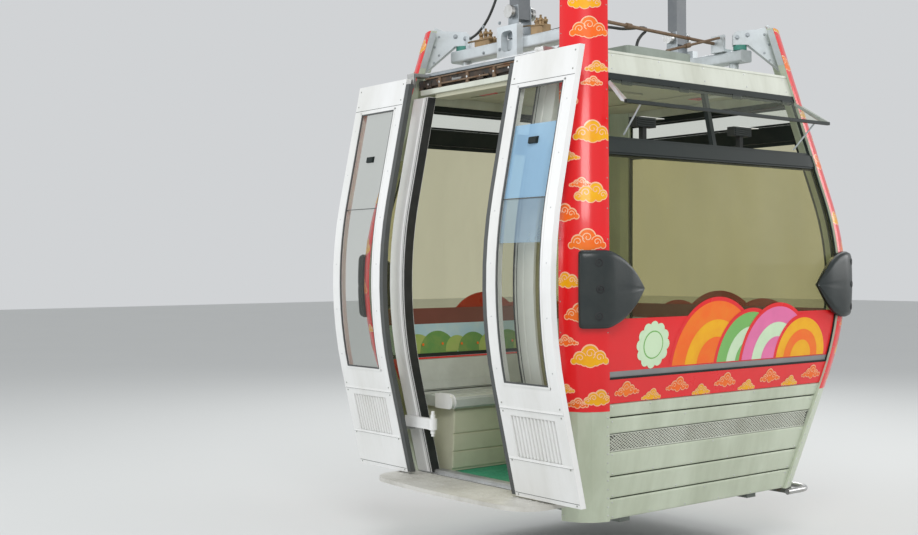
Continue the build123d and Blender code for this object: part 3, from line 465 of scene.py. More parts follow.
# lobes of three cloud shapes, in units of the cloud's half width; columns: x, z, radius, curl turns (0 none), start angle, hand
CLOUDS = {
    "a": [(0.0, 0.18, 0.44, 1.3, -60, 1), (-0.52, -0.06, 0.32, 1.1, 200, -1), (0.50, -0.04, 0.34, 1.1, -20, 1), (0.0, -0.20, 0.34, 0, 0, 1),
          (-0.86, -0.24, 0.14, 0, 0, 1), (0.86, -0.24, 0.15, 0, 0, 1), (-0.3, -0.28, 0.18, 0, 0, 1), (0.33, -0.28, 0.18, 0, 0, 1)],
    "b": [(-0.22, 0.16, 0.40, 1.2, 240, -1), (0.32, 0.02, 0.36, 1.2, -30, 1), (-0.64, -0.10, 0.25, 1.0, 180, -1), (0.72, -0.18, 0.22, 0.9, 0, 1),
          (0.05, -0.22, 0.30, 0, 0, 1), (-0.4, -0.26, 0.2, 0, 0, 1), (0.48, -0.28, 0.16, 0, 0, 1)],
    "c": [(0.08, 0.12, 0.34, 1.2, -50, 1), (-0.34, -0.02, 0.26, 1.0, 200, -1), (0.48, -0.10, 0.22, 0.9, 0, 1), (-0.72, -0.14, 0.13, 0, 0, 1),
          (-0.94, -0.17, 0.07, 0, 0, 1), (0.82, -0.17, 0.11, 0, 0, 1), (0.0, -0.17, 0.22, 0, 0, 1)],
}


def cloud(layers, surf, s, z, w, kind, colour, bound, flip=1, line=0.0042):
    """One ornament cloud: light outline, filled lobes and curl lines."""
    for i, (dx, dz, r, turns, start, hand) in enumerate(CLOUDS[kind]):
        cx, cz, rr = s + flip * dx * w, z + dz * w, r * w
        disc(layers["outline"], surf, cx, cz, rr + line, rr + line, 0.0009 + 0.00006 * i, bound)
        disc(layers[colour], surf, cx, cz, rr, rr, 0.0016 + 0.00007 * i, bound)
        if turns:
            st = start if flip > 0 else 180 - start
            ribbon(layers["lines"], surf, curl(cx, cz, rr * 0.66, turns, st, hand * flip), line * 0.9, 0.0026, bound)
            arc = [(cx + rr * 0.98 * math.cos(math.radians(a)), cz + rr * 0.98 * math.sin(math.radians(a))) for a in spread(20, 160, 12)]
            ribbon(layers["lines"], surf, arc, line * 0.8, 0.0026, bound)


# columns: s along the post (0 at the side face), height, half width, kind, colour, flip
POST_CLOUDS = [
    (0.125, 2.440, 0.085, "b", "yellow", 1), (0.150, 2.300, 0.090, "a", "orange", -1), (0.060, 2.150, 0.060, "c", "yellow", 1),
    (0.190, 2.110, 0.062, "c", "yellow", -1), (0.165, 2.040, 0.050, "c", "orange", 1), (0.030, 1.960, 0.070, "b", "orange", 1),
    (0.165, 1.800, 0.088, "a", "yellow", 1), (0.050, 1.690, 0.055, "c", "yellow", -1), (0.160, 1.520, 0.082, "b", "yellow", -1),
    (0.110, 1.565, 0.050, "c", "orange", 1), (0.035, 1.430, 0.066, "a", "orange", 1), (0.140, 1.305, 0.084, "a", "orange", -1),
    (0.050, 1.130, 0.062, "b", "yellow", 1), (0.105, 0.985, 0.070, "a", "orange", 1), (0.215, 1.080, 0.045, "c", "yellow", 1),
    (0.150, 0.790, 0.086, "a", "yellow", 1), (0.040, 0.860, 0.055, "c", "orange", -1), (0.185, 0.600, 0.066, "b", "yellow", -1),
    (0.090, 0.575, 0.052, "c", "orange", 1), (0.035, 0.640, 0.045, "c", "yellow", 1),
]
FILM_Z0 = 0.535
layers = {k: Heap() for k in ("outline", "yellow", "orange", "lines")}
wrap = Heap()
for word, sx, sy in CORNERS:
    surf = post_pt(sx, sy)
    wrap.sheet(lambda s, z: surf(s, z, 0.0006), spread(0.0, POST_LEN, 22), spread(FILM_Z0, 2.4596, 70))
    bound = (0.002, POST_LEN - 0.002, FILM_Z0 + 0.002, 2.4575)
    turn = {"nl": 0.0, "nr": 0.31, "fr": 0.12, "fl": -0.22}[word]
    for s, z, w, kind, colour, flip in POST_CLOUDS:
        zz = z + turn
        if zz > 2.52:
            zz -= 2.0
        if zz < 0.5:
            zz += 2.0
        ss = s if word in ("nl", "fr") else POST_LEN - s
        cloud(layers, surf, ss, zz, w, kind, colour, bound, flip if word in ("nl", "fr") else -flip)
wrap.done("post_film", RED, slot="red_paint", smooth=True)

# folded flanges of the shoulder plates on the posts' cut faces, above the roof
FLANGE_Z0, FLANGE_Z1 = 2.262, 2.452
FLANGE_R0, FLANGE_R1 = CORNER_R + PROUD - 0.0405, CORNER_R + PROUD - 0.0015
flanges = Heap()
for word, sx, sy in CORNERS:
    for cut in ("end", "side"):
        def face(r, z, cut=cut, sx=sx, sy=sy):
            b = bulge(z)
            if cut == "end":
                return Vector((sx * (END_HALF + b - 0.0008), sy * (SIDE_HALF + b + r), z + ZO))
            return Vector((sx * (END_HALF + b + r), sy * (SIDE_HALF + b - 0.0008), z + ZO))
        flanges.sheet(face, spread(FLANGE_R0, FLANGE_R1, 3), spread(FLANGE_Z0, FLANGE_Z1, 8))
flanges.done("shoulder_flanges", SILVER, slot="steel")

# end and side walls: red film on the foot of each window, with an own ornament

def wall_half(kind, z):
    return (END_HALF if kind == "end" else SIDE_HALF) + bulge(z)


FILM_TOP = 0.955
band = Heap()
back = Heap()
grey = Heap()
extra = {k: Heap() for k in ("green", "pink", "pale", "orange", "yellow", "edge", "sky", "hill")}
WALLS = [("end", -1), ("end", 1), ("side", 1)]
for kind, side in WALLS:
    surf = end_pt(side) if kind == "end" else side_pt(side)
    zs = spread(0.6815, FILM_TOP, 14)
    band.sheet(lambda u, z: surf(u * (wall_half(kind, z) - 0.003), z, -0.0034), spread(-1, 1, 24), zs)
    back.sheet(lambda u, z: surf(u * (wall_half(kind, z) - 0.003), z, -0.0128), spread(-1, 1, 24), zs)
    half = wall_half(kind, 0.80) - 0.004
    bound = (-half, half, 0.683, 1.30)
    # grey strip along the foot of the film
    for za, zb, h in ((0.683, 0.716, grey),):
        h.sheet(lambda u, z: surf(u * (wall_half(kind, z) - 0.004), z, -0.0029), spread(-1, 1, 20), spread(za, zb, 2))
    # fans: rings of colour that rise over the film's upper edge; columns: s, foot height, radius, colours
    fans = [(-0.10, 0.722, 0.300, ("orange", "yellow", "orange")), (0.16, 0.722, 0.240, ("green", "pale", "green")),
            (0.37, 0.722, 0.262, ("pink", "pale", "pink")), (0.58, 0.722, 0.200, ("yellow", "orange", "yellow"))]
    if kind == "side":
        fans = [(-0.30, 0.722, 0.26, ("green", "pale", "green")), (0.02, 0.722, 0.30, ("orange", "yellow", "orange")), (0.34, 0.722, 0.24, ("pink", "pale", "pink"))]
    for n, (s, z, r, cols) in enumerate(fans):
        s = s * side if kind == "end" and side > 0 else s
        lift = -0.0024 + n * 0.0014
        disc(extra["edge"], surf, s, z, r + 0.020, r + 0.020, lift, bound, 40, 6, 0, 180)
        for q, (share, c) in enumerate(zip((1.0, 0.70, 0.42), cols)):
            disc(extra[c], surf, s, z, r * share, r * share, lift + 0.00035 * (q + 1), bound, 40, 5, 0, 180)
    # pale rosette beside the fans
    s = -0.545 if side < 0 else (0.545 if kind == "end" else -0.565)
    for i in range(12):
        a = 2 * math.pi * i / 12
        disc(extra["pale"], surf, s + 0.083 * math.cos(a), 0.828 + 0.083 * math.sin(a), 0.028, 0.028, -0.0026 + 0.00006 * i, bound, 16, 2)
    disc(extra["pale"], surf, s, 0.828, 0.090, 0.090, -0.0017, bound, 30, 3)
    disc(extra["green"], surf, s, 0.828, 0.066, 0.066, -0.0012, bound, 30, 3)
    disc(extra["pale"], surf, s, 0.828, 0.060, 0.060, -0.0008, bound, 30, 3)
    # small clouds along the band panel below the window
    n = 9 if kind == "end" else 8
    half = wall_half(kind, 0.6) - 0.02
    bnd = (-half, half, 0.570, 0.677)
    for i in range(n):
        s = -half + (i + 0.55) * 2 * half / n
        cloud(layers, lambda a, b, o, f=surf: f(a, b, o + 0.0022), s, 0.628 if i % 2 == 0 else 0.590, 0.080 if i % 2 == 0 else 0.066, "c",
              "orange" if i % 2 == 0 else "yellow", bnd, 1 if i % 3 else -1, 0.003)
inner = {k: Heap() for k in ("sky", "hill_a", "hill_b", "dots")}
# columns: place along the wall, foot height, radius, colour
HILLS = [(-0.62, 0.700, 0.110, "hill_b"), (-0.48, 0.690, 0.135, "hill_a"), (-0.34, 0.705, 0.090, "hill_b"), (-0.22, 0.690, 0.120, "hill_a"), (-0.08, 0.700, 0.105, "hill_b"),
         (0.05, 0.690, 0.125, "hill_a"), (0.17, 0.700, 0.085, "hill_b"), (0.30, 0.690, 0.130, "hill_a"), (0.43, 0.700, 0.100, "hill_b"), (0.56, 0.690, 0.120, "hill_a"), (0.66, 0.700, 0.095, "hill_b")]
for kind, side in WALLS:
    surf = end_pt(side) if kind == "end" else side_pt(side)
    half = wall_half(kind, 0.70) - 0.006
    bound = (-half, half, 0.694, 0.862)
    inner["sky"].sheet(lambda u, z: surf(u * (wall_half(kind, z) - 0.005), z, -0.0138), spread(-1, 1, 20), spread(0.694, 0.866, 6))
    for n, (s, z, r, c) in enumerate(HILLS):
        disc(inner[c], surf, s, z, r, r, -0.0146 - 0.0003 * n, bound, 34, 3, 0, 180)
        disc(inner["dots"], surf, s + 0.03, z + r * 0.45, 0.008, 0.008, -0.0186, bound, 10, 1)
inner["sky"].done("film_print_sky", SKYB, slot="red_paint", smooth=True)
inner["hill_a"].done("film_print_hills", HILL_A, slot="red_paint", smooth=True)
inner["hill_b"].done("film_print_slopes", HILL_B, slot="red_paint", smooth=True)
inner["dots"].done("film_print_dots", ORA, slot="red_paint", smooth=True)
band.done("window_film", RED, slot="red_paint", smooth=True)
back.done("window_film_back", FILM_BACK, slot="red_paint", smooth=True)
grey.done("film_foot_strip", BANDGREY, slot="red_paint", smooth=True)
for key, mt in (("edge", RED), ("orange", ORA), ("yellow", YEL), ("green", F_GREEN), ("pink", F_PINK), ("pale", F_PALE)):
    if extra[key].v:
        extra[key].done("film_fans_" + key, mt, slot="red_paint", smooth=True)
for key, mt in (("outline", OUTLINE), ("yellow", YEL), ("orange", ORA), ("lines", OUTLINE)):
    layers[key].done("ornament_" + key, mt, slot="red_paint", smooth=True)

# ------------------------------------------------------------------ planked lower walls
PLANKS = [(0.003, 0.103), (0.110, 0.212), (0.219, 0.335)]
LOW_PLANKS = [(0.4235, 0.497), (0.504, 0.566)]


def planks(name, rows, replaced):
    h = Heap()
    for kind, side in WALLS:
        surf = end_pt(side) if kind == "end" else side_pt(side)
        for za, zb in rows:
            prof = [(za, -0.022), (za, -0.004), (za + 0.004, -0.0006), (za + 0.010, 0.0), (zb - 0.010, 0.0), (zb - 0.004, -0.0010), (zb, -0.005), (zb, -0.022)]
            us = spread(-1, 1, 12)
            pts = [surf(u * (wall_half(kind, z) - 0.0015), z, off) for z, off in prof for u in us]
            n = len(us)
            fs = [(j * n + i, j * n + i + 1, (j + 1) * n + i + 1, (j + 1) * n + i) for j in range(len(prof) - 1) for i in range(n - 1)]
            fs += [tuple(j * n for j in range(len(prof))), tuple(j * n + n - 1 for j in reversed(range(len(prof))))]
            h.add(pts, fs)
    ob = h.done(name, CREAM, slot="cream_paint")
    for p in ob.data.polygons:
        p.use_smooth = False
    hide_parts(replaced)
    return ob


planks("bottom_planks", PLANKS, "bottom_panels")
planks("lower_planks", LOW_PLANKS, "lower_panels")
h = Heap()
hi = Heap()
for kind, side in WALLS:
    surf = end_pt(side) if kind == "end" else side_pt(side)
    for za, zb in ((0.004, 0.334), (0.425, 0.565)):
        h.sheet(lambda u, z: surf(u * (wall_half(kind, z) - 0.003), z, -0.019), spread(-1, 1, 6), spread(za, zb, 3))
        hi.sheet(lambda u, z: surf(u * (wall_half(kind, z) - 0.003), z, -0.0258), spread(-1, 1, 6), spread(za, zb, 3))
h.done("plank_backing", SHADOW, slot="underbody")
hi.done("plank_lining", CREAM_IN, slot="cream_paint")

# expanded metal in the vent strips: two crossing sets of slanted strands
mesh_h = Heap()
for kind, side in WALLS:
    surf = end_pt(side) if kind == "end" else side_pt(side)
    z0, z1 = 0.3405, 0.4190
    half = wall_half(kind, z0) - 0.004
    run = (z1 - z0) * 1.55
    pitch = 0.0215
    n = int((2 * half + run) / pitch)
    for way in (1, -1):
        for i in range(n):
            b = -half - run / 2 + i * pitch
            pa, pb = (b, z0), (b + run, z1)
            if way < 0:
                pa, pb = (b + run, z0), (b, z1)
            # keep inside the strip's ends
            def at(t):
                return (pa[0] + (pb[0] - pa[0]) * t, pa[1] + (pb[1] - pa[1]) * t)
            t0, t1 = 0.0, 1.0
            if pa[0] != pb[0]:
                for lim in (-half, half):
                    t = (lim - pa[0]) / (pb[0] - pa[0])
                    if 0 < t < 1:
                        if (pa[0] < lim) == (lim < 0):
                            t0 = max(t0, t)
                        else:
                            t1 = min(t1, t)
                if pa[0] < -half and pb[0] < -half or pa[0] > half and pb[0] > half:
                    continue
            a, c = at(t0), at(t1)
            if abs(c[0] - a[0]) < 0.004 or min(a[0], c[0]) < -half - 0.001 or max(a[0], c[0]) > half + 0.001:
                continue
            w = 0.0043
            off0 = -0.0060 if way > 0 else -0.0052
            pts = [surf(a[0] - w, a[1], off0), surf(a[0] + w, a[1], off0), surf(c[0] + w, c[1], off0), surf(c[0] - w, c[1], off0)]
            top = [surf(a[0] - w * 0.6, a[1], off0 + 0.003), surf(a[0] + w * 0.6, a[1], off0 + 0.003), surf(c[0] + w * 0.6, c[1], off0 + 0.003), surf(c[0] - w * 0.6, c[1], off0 + 0.003)]
            mesh_h.hexa(pts + top)
    # frame strips above and below the mesh
    for za, zb in ((0.3375, 0.3425), (0.4165, 0.4205)):
        mesh_h.sheet(lambda u, z: surf(u * (wall_half(kind, z) - 0.003), z, -0.0015), spread(-1, 1, 8), [za, zb])
mesh_h.done("vent_mesh", FASCIA, slot="mesh_plate")

# ------------------------------------------------------------------ small fixings
screws = Heap()
dark_screws = Heap()
for kind, side in WALLS:
    surf = end_pt(side) if kind == "end" else side_pt(side)
    out = Vector((0, side, 0)) if kind == "end" else Vector((side, 0, 0))
    # along the top edge of the planks
    for z in (0.552, 0.482, 0.322, 0.230, 0.122, 0.088, 0.016):
        half = wall_half(kind, z) - 0.03
        n = {0.552: 6, 0.482: 3, 0.322: 2, 0.230: 5, 0.122: 3, 0.088: 2, 0.016: 5}[z]
        for i in range(n + 1):
            screws.dome(surf(-half + 2 * half * i / n, z, 0.0), out, 0.0042, 0.0022)
    for z in (2.178, 2.112):
        half = wall_half(kind, z) - 0.04
        for i in range(5):
            screws.dome(surf(-half + 2 * half * i / 4, z, 0.0), out, 0.0045, 0.0022)
# rivet rows on the cream feet of the posts and beside the film
for word, sx, sy in CORNERS:
    surf = post_pt(sx, sy)
    for s in (0.012, POST_LEN - 0.012):
        n = 12
        for i in range(n):
            z = 0.03 + (FILM_Z0 - 0.06) * i / (n - 1)
            p = surf(s, z, 0.0)
            out = Vector((sx, 0, 0)) if s < 0.1 else Vector((0, sy, 0))
            screws.dome(p, out, 0.0038, 0.002)
    for i in range(14):
        z = 0.62 + 1.8 * i / 13
        for s in (0.010, POST_LEN - 0.010):
            out = Vector((sx, 0, 0)) if s < 0.1 else Vector((0, sy, 0))
            dark_screws.dome(surf(s, z, 0.0006), out, 0.0030, 0.0012)

# ------------------------------------------------------------------ window rubbers
gask = Heap()


def ring_on(h, surf, halff, z0, z1, w, off, th):
    """Rectangular frame that follows a wall: strips of width w, raised by th."""
    zs = spread(z0, z1, 18)
    for sgn in (-1, 1):
        for za, zb in zip(zs[:-1], zs[1:]):
            a0, a1 = sgn * halff(za), sgn * halff(zb)
            b0, b1 = a0 - sgn * w, a1 - sgn * w
            h.hexa([surf(a0, za, off), surf(b0, za, off), surf(b1, zb, off), surf(a1, zb, off),
                    surf(a0, za, off + th), surf(b0, za, off + th), surf(b1, zb, off + th), surf(a1, zb, off + th)])
    for za, zb in ((z0, z0 + w), (z1 - w, z1)):
        us = spread(-1, 1, 6)
        for ua, ub in zip(us[:-1], us[1:]):
            h.hexa([surf(ua * halff(za), za, off), surf(ub * halff(za), za, off), surf(ub * halff(zb), zb, off), surf(ua * halff(zb), zb, off),
                    surf(ua * halff(za), za, off + th), surf(ub * halff(za), za, off + th), surf(ub * halff(zb), zb, off + th), surf(ua * halff(zb), zb, off + th)])


for kind, side in WALLS:
    surf = end_pt(side) if kind == "end" else side_pt(side)
    near = kind == "end" and side < 0
    ztop, zup = (1.7125, 1.7745) if near else (1.8755, 1.9665)
    ring_on(gask, surf, lambda z, k=kind: wall_half(k, z) - 0.001, 0.6805, ztop, 0.009, -0.0045, 0.006)
    # inner frame of the window
    ring_on(gask, surf, lambda z, k=kind: wall_half(k, z) - 0.001, 0.6805, ztop, 0.020, -0.018, 0.005)
    if near:
        ring_on(gask, surf, lambda z, k=kind: wall_half(k, z) - 0.001, zup, 2.0585, 0.012, -0.012, 0.010)
    else:
        ring_on(gask, surf, lambda z, k=kind: wall_half(k, z) - 0.001, zup, 2.0585, 0.010, -0.0045, 0.006)
gask.done("window_rubbers", DARK, slot="dark_frame")

# ------------------------------------------------------------------ door leaves
LEAF_OUT, LEAF_T = 0.120, 0.032
LEAVES = [("near", -0.808, -0.368, 1), ("far", 0.500, 0.940, -1)]
trim = Heap()      # white raised parts
dark_lines_and_shade = Heap()        # dark joint lines and rubbers, plus painted shade strips under the ledges
ribs = Heap()
back_s = Heap()
blue = Heap()
faint = Heap()
lat = Heap()
for word, ya, yb, way in LEAVES:
    def surf(y, z, off):
        return Vector((-(wall_x(z) + LEAF_OUT + off), y, z + ZO))
    out = Vector((-1, 0, 0))
    # ledges across the leaf; the dark strip under each ledge's lip is painted shade
    for z, t in ((0.540, 0.0045), (0.297, 0.0035)):
        trim.hexa([surf(ya + 0.004, z - 0.006, 0), surf(yb - 0.004, z - 0.006, 0), surf(yb - 0.004, z + 0.004, 0), surf(ya + 0.004, z + 0.004, 0),
                   surf(ya + 0.004, z - 0.006, t), surf(yb - 0.004, z - 0.006, t), surf(yb - 0.004, z + 0.004, t * 0.4), surf(ya + 0.004, z + 0.004, t * 0.4)])
        # dark strip just under the ledge's lip: painted shade
        dark_lines_and_shade.hexa([surf(ya + 0.004, z - 0.0078, 0), surf(yb - 0.004, z - 0.0078, 0), surf(yb - 0.004, z - 0.006, 0), surf(ya + 0.004, z - 0.006, 0),
                 surf(ya + 0.004, z - 0.0078, 0.001), surf(yb - 0.004, z - 0.0078, 0.001), surf(yb - 0.004, z - 0.006, 0.001), surf(ya + 0.004, z - 0.006, 0.001)])
    # thin joint lines: header and foot
    for z in (2.049, 0.128):
        dark_lines_and_shade.hexa([surf(ya + 0.004, z - 0.0012, 0), surf(yb - 0.004, z - 0.0012, 0), surf(yb - 0.004, z + 0.0012, 0), surf(ya + 0.004, z + 0.0012, 0),
                 surf(ya + 0.004, z - 0.0012, 0.0006), surf(yb - 0.004, z - 0.0012, 0.0006), surf(yb - 0.004, z + 0.0012, 0.0006), surf(ya + 0.004, z + 0.0012, 0.0006)])
    # window rubber
    yc, hw = (ya + yb) / 2, (yb - ya) / 2 - 0.070
    def loc(s, z, off, yc=yc):
        return surf(yc + s, z, off)
    ring_on(dark_lines_and_shade, loc, lambda z, hw=hw: hw + 0.002, 0.655, 2.028, 0.008, -0.006, 0.0068)
    ring_on(trim, loc, lambda z, hw=hw: hw + 0.012, 0.645, 2.038, 0.010, -0.0005, 0.0032)
    # ribbed vent: upright slats in the recess, with a dark back sheet behind them as painted shade in the gaps
    n = 12
    z0, z1 = 0.306, 0.500
    back_s.sheet(lambda s, z: surf(yc + s, z, -0.0134), spread(-hw + 0.002, hw - 0.002, 2), spread(z0, z1, 4))
    for i in range(n):
        y = yc - hw + 0.006 + (2 * hw - 0.012) * (i + 0.5) / n
        w = (2 * hw - 0.012) / n * 0.34
        ribs.hexa([surf(y - w, z0, -0.0165), surf(y + w, z0, -0.0165), surf(y + w, z1, -0.0165), surf(y - w, z1, -0.0165),
                   surf(y - w * 0.5, z0, -0.001), surf(y + w * 0.5, z0, -0.001), surf(y + w * 0.5, z1, -0.001), surf(y - w * 0.5, z1, -0.001)])
    # sliding pane: joint line, tinted upper pane, latch
    if word == "near":
        blue.sheet(lambda s, z: loc(s, z, -0.0105), spread(-hw + 0.004, hw - 0.004, 3), spread(1.505, 1.846, 10))
        faint.sheet(lambda s, z: loc(s, z, -0.0108), spread(-hw + 0.004, hw - 0.004, 3), spread(1.300, 1.500, 6))
    for z in (1.502,):
        dark_lines_and_shade.hexa([loc(-hw, z - 0.002, -0.012), loc(hw, z - 0.002, -0.012), loc(hw, z + 0.002, -0.012), loc(-hw, z + 0.002, -0.012),
                 loc(-hw, z - 0.002, -0.008), loc(hw, z - 0.002, -0.008), loc(hw, z + 0.002, -0.008), loc(-hw, z + 0.002, -0.008)])
    lat.hexa([loc(-0.030, 1.752, -0.011), loc(0.030, 1.752, -0.011), loc(0.030, 1.786, -0.011), loc(-0.030, 1.786, -0.011),
              loc(-0.026, 1.755, 0.004), loc(0.026, 1.755, 0.004), loc(0.026, 1.783, 0.004), loc(-0.026, 1.783, 0.004)])
    # screws on the stiles and header
    for z in (2.160, 2.075, 0.560, 0.520, 0.285, 0.120):
        for y in (ya + 0.022, yb - 0.022):
            dark_screws.dome(surf(y, z, 0.0), out, 0.0046, 0.0020)
    for i in range(6):
        z = 0.72 + 1.22 * i / 5
        for y in (ya + 0.030, yb - 0.030):
            screws.dome(surf(y, z, 0.0), out, 0.0036, 0.0012)
    # inner face: lining frame
    ring_on(trim, lambda s, z, off, yc=yc: Vector((-(wall_x(z) + LEAF_OUT - LEAF_T - off), yc + s, z + ZO)), lambda z, hw=hw: hw + 0.012, 0.645, 2.038, 0.012, 0.0, 0.0035)
trim.done("leaf_trim", WHITE, slot="door_white")
ribs.done("leaf_vent_ribs", WHITE, slot="door_white")
back_s.done("leaf_vent_back", VENT_SHADE_BACK, slot="door_white")
dark_lines_and_shade.done("leaf_rubbers_and_shade_lines", SEAL, slot="seal")
blue.done("leaf_sliding_pane", GLASS_BLUE, slot="window", smooth=True)
faint.done("leaf_lower_slide", GLASS_FAINT, slot="window", smooth=True)
bevel(lat.done("leaf_latches", DARK, slot="dark_frame"), 0.002)

# ------------------------------------------------------------------ bumpers
bump = Heap()
holes = Heap()
BZ, BH, BR, BT = 1.090, 0.1735, 0.162, 0.0345
BARC = BR * math.pi / 2
BS0, BS1 = BR * math.radians(36.5), BARC + 0.2115
for word, sx, sy in CORNERS:
    cx = END_HALF + bulge(BZ)
    cy = SIDE_HALF + bulge(BZ)

    def base_pt(s):
        """Path round the corner at the waist, from the straight edge on the post to the tip on the end."""
        if s < BARC:
            t = s / BR
            return Vector((cx + BR * math.cos(t), cy + BR * math.sin(t), 0)), Vector((math.cos(t), math.sin(t), 0))
        return Vector((cx - (s - BARC), cy + BR, 0)), Vector((0, 1, 0))

    def half_h(s):
        """Half height along the path: straight edge with small round corners, pointed at the tip."""
        p, n = base_pt(s)
        d = p.x - (cx - 0.2115)
        u = max(0.0, 1 - d / 0.246)
        h = BH * max(0.0, 1 - u * u) ** 1.1
        e = BS0 + 0.022 - s
        if e > 0:
            h -= 0.016 * (1 - math.sqrt(max(0.0, 1 - (e / 0.022) ** 2)))
        return max(h, 0.004)

    steps = [BS0 + (BS1 - BS0) * t for t in ([0, 0.006, 0.013, 0.022, 0.035, 0.05, 0.07, 0.09] + [0.12 + 0.0220 * i for i in range(40)])]
    steps = [v for v in steps if v < BS1 - 0.004] + [BS1]
    nu, nv = len(steps) - 1, 32
    vs, fs = [], []
    for i, s in enumerate(steps):
        hh = half_h(s)
        p, n = base_pt(s)
        ea = min(1.0, (s - BS0) / 0.020)
        eb = min(1.0, max(0.0, (BS1 - s)) / 0.110)
        edge = math.sqrt(1 - (1 - ea) ** 2) * (0.30 + 0.70 * math.sin(math.pi / 2 * eb) ** 0.8)
        crest = max(0.0, 1 - abs(s - BARC) / 0.12)
        for j in range(nv + 1):
            v = -1 + 2 * j / nv
            v = math.copysign(abs(v) ** 0.8, v)
            dz = v * hh
            rim = math.sqrt(max(0.0, 1 - max(0.0, (abs(v) - 0.80) / 0.20) ** 2.4))
            crease = 0.0016 * math.exp(-(dz / 0.0045) ** 2) * (1 - 0.75 * crest)
            th = 0.004 + (BT - 0.004) * edge * (0.20 + 0.80 * rim) * (1 - 0.05 * (1 - crest)) - crease
            shift = bulge(BZ + dz) - bulge(BZ)
            q = p + n * (th + shift)
            vs.append(Vector((sx * q.x, sy * q.y, BZ + dz + ZO)))
    for i in range(nu):
        for j in range(nv):
            a = i * (nv + 1) + j
            f = (a, a + nv + 1, a + nv + 2, a + 1)
            fs.append(f if sx * sy > 0 else f[::-1])
    base = len(vs)
    ring = [i * (nv + 1) for i in range(nu + 1)] + [nu * (nv + 1) + j for j in range(1, nv + 1)] + \
           [i * (nv + 1) + nv for i in range(nu - 1, -1, -1)] + [j for j in range(nv - 1, 0, -1)]
    for k in ring:
        i, j = divmod(k, nv + 1)
        p, n = base_pt(steps[i])
        v = -1 + 2 * j / nv
        dz = math.copysign(abs(v) ** 0.8, v) * half_h(steps[i])
        q = p + n * (-0.005 + bulge(BZ + dz) - bulge(BZ))
        vs.append(Vector((sx * q.x, sy * q.y, BZ + dz + ZO)))
    for a in range(len(ring)):
        b2 = (a + 1) % len(ring)
        f = (ring[a], ring[b2], base + b2, base + a)
        fs.append(f if sx * sy > 0 else f[::-1])
    bump.add(vs, fs)
    # three recessed screws
    for dz in (-0.118, 0.0, 0.118):
        s = 0.185 if dz else 0.190
        p, n = base_pt(s)
        q = p + n * (BT + 0.0004 + bulge(BZ + dz) - bulge(BZ))
        o = Vector((sx * q.x, sy * q.y, BZ + dz + ZO))
        ax = Vector((sx * n.x, sy * n.y, 0))
        holes.lathe(o, ax, [(0.0190, -0.003), (0.0190, 0.0002), (0.0150, 0.0010), (0.0125, -0.0022), (0.0065, -0.0022), (0.0060, -0.0004), (0.002, -0.0002)], 24)
ob = bump.done("bumper_shells", BUMP, slot="bumper_plastic", smooth=True)
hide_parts("corner_bumpers")
holes.done("bumper_screw_seats", BLACK, slot="bumper_plastic")

# ------------------------------------------------------------------ door side trim
jt = Heap()
jd = Heap()
for s in (-1, 1):
    # channel for the seal on the inner edge of each jamb, and a fold on its face
    zs = spread(0.104, 2.088, 26)
    for za, zb in zip(zs[:-1], zs[1:]):
        def P(y, z, off):
            return Vector((-(wall_x(z) + 0.004 + off), s * y, z + ZO))
        jd.hexa([P(0.4285, za, -0.0435), P(0.4315, za, -0.0435), P(0.4315, zb, -0.0435), P(0.4285, zb, -0.0435),
                 P(0.4275, za, 0.004), P(0.4345, za, 0.004), P(0.4345, zb, 0.004), P(0.4275, zb, 0.004)])
        jd.hexa([P(0.4490, za, 0), P(0.4520, za, 0), P(0.4520, zb, 0), P(0.4490, zb, 0),
                 P(0.4490, za, 0.0015), P(0.4520, za, 0.0015), P(0.4520, zb, 0.0015), P(0.4490, zb, 0.0015)])
        jt.hexa([P(0.470, za, 0), P(0.500, za, 0), P(0.500, zb, 0), P(0.470, zb, 0),
                 P(0.474, za, 0.004), P(0.496, za, 0.004), P(0.496, zb, 0.004), P(0.474, zb, 0.004)])
jd.done("jamb_rubbers", BLACK, slot="seal")
jt.done("jamb_folds", WHITE, slot="door_white")

# header clutter: cream rail below, rusty brackets, rods, bolt heads and springs in the open channel
hc = Heap()
hr = Heap()
hy = Heap()
hd = Heap()
xh = -(wall_x(2.15) - 0.029)          # middle of the header rail
xf = xh - 0.033                       # its outer face
hc.hexa([(xf - 0.002, -0.520, 2.106 + ZO), (xf + 0.020, -0.520, 2.106 + ZO), (xf + 0.020, 0.520, 2.106 + ZO), (xf - 0.002, 0.520, 2.106 + ZO),
         (xf - 0.004, -0.520, 2.1335 + ZO), (xf + 0.020, -0.520, 2.1335 + ZO), (xf + 0.020, 0.520, 2.1335 + ZO), (xf - 0.004, 0.520, 2.1335 + ZO)])
# columns: y, width, low, high, reach outward
for y, w, z0, z1, out in ((-0.43, 0.05, 2.136, 2.180, 0.004), (-0.31, 0.022, 2.134, 2.190, 0.007), (-0.20, 0.06, 2.150, 2.184, 0.003), (-0.09, 0.018, 2.134, 2.190, 0.007),
                          (0.02, 0.05, 2.138, 2.168, 0.004), (0.12, 0.020, 2.134, 2.190, 0.007), (0.24, 0.075, 2.146, 2.182, 0.003), (0.35, 0.020, 2.134, 2.190, 0.007), (0.45, 0.045, 2.140, 2.176, 0.004)):
    (hy if w < 0.03 else hd).box((xf - out, y - w / 2, z0 + ZO), (xf + 0.004, y + w / 2, z1 + ZO))
    hr.lathe((xf - out, y, (z0 + z1) / 2 + ZO), (-1, 0, 0), [(0.006, 0), (0.006, 0.003), (0.003, 0.0035)], 10)
for y0, y1, z, r in ((-0.40, -0.12, 2.177, 0.0060), (-0.05, 0.33, 2.152, 0.0045), (-0.47, 0.47, 2.1885, 0.0040)):
    hy.lathe((xf - 0.006, y0, z + ZO), (0, 1, 0), [(r, 0), (r, y1 - y0)], 12)
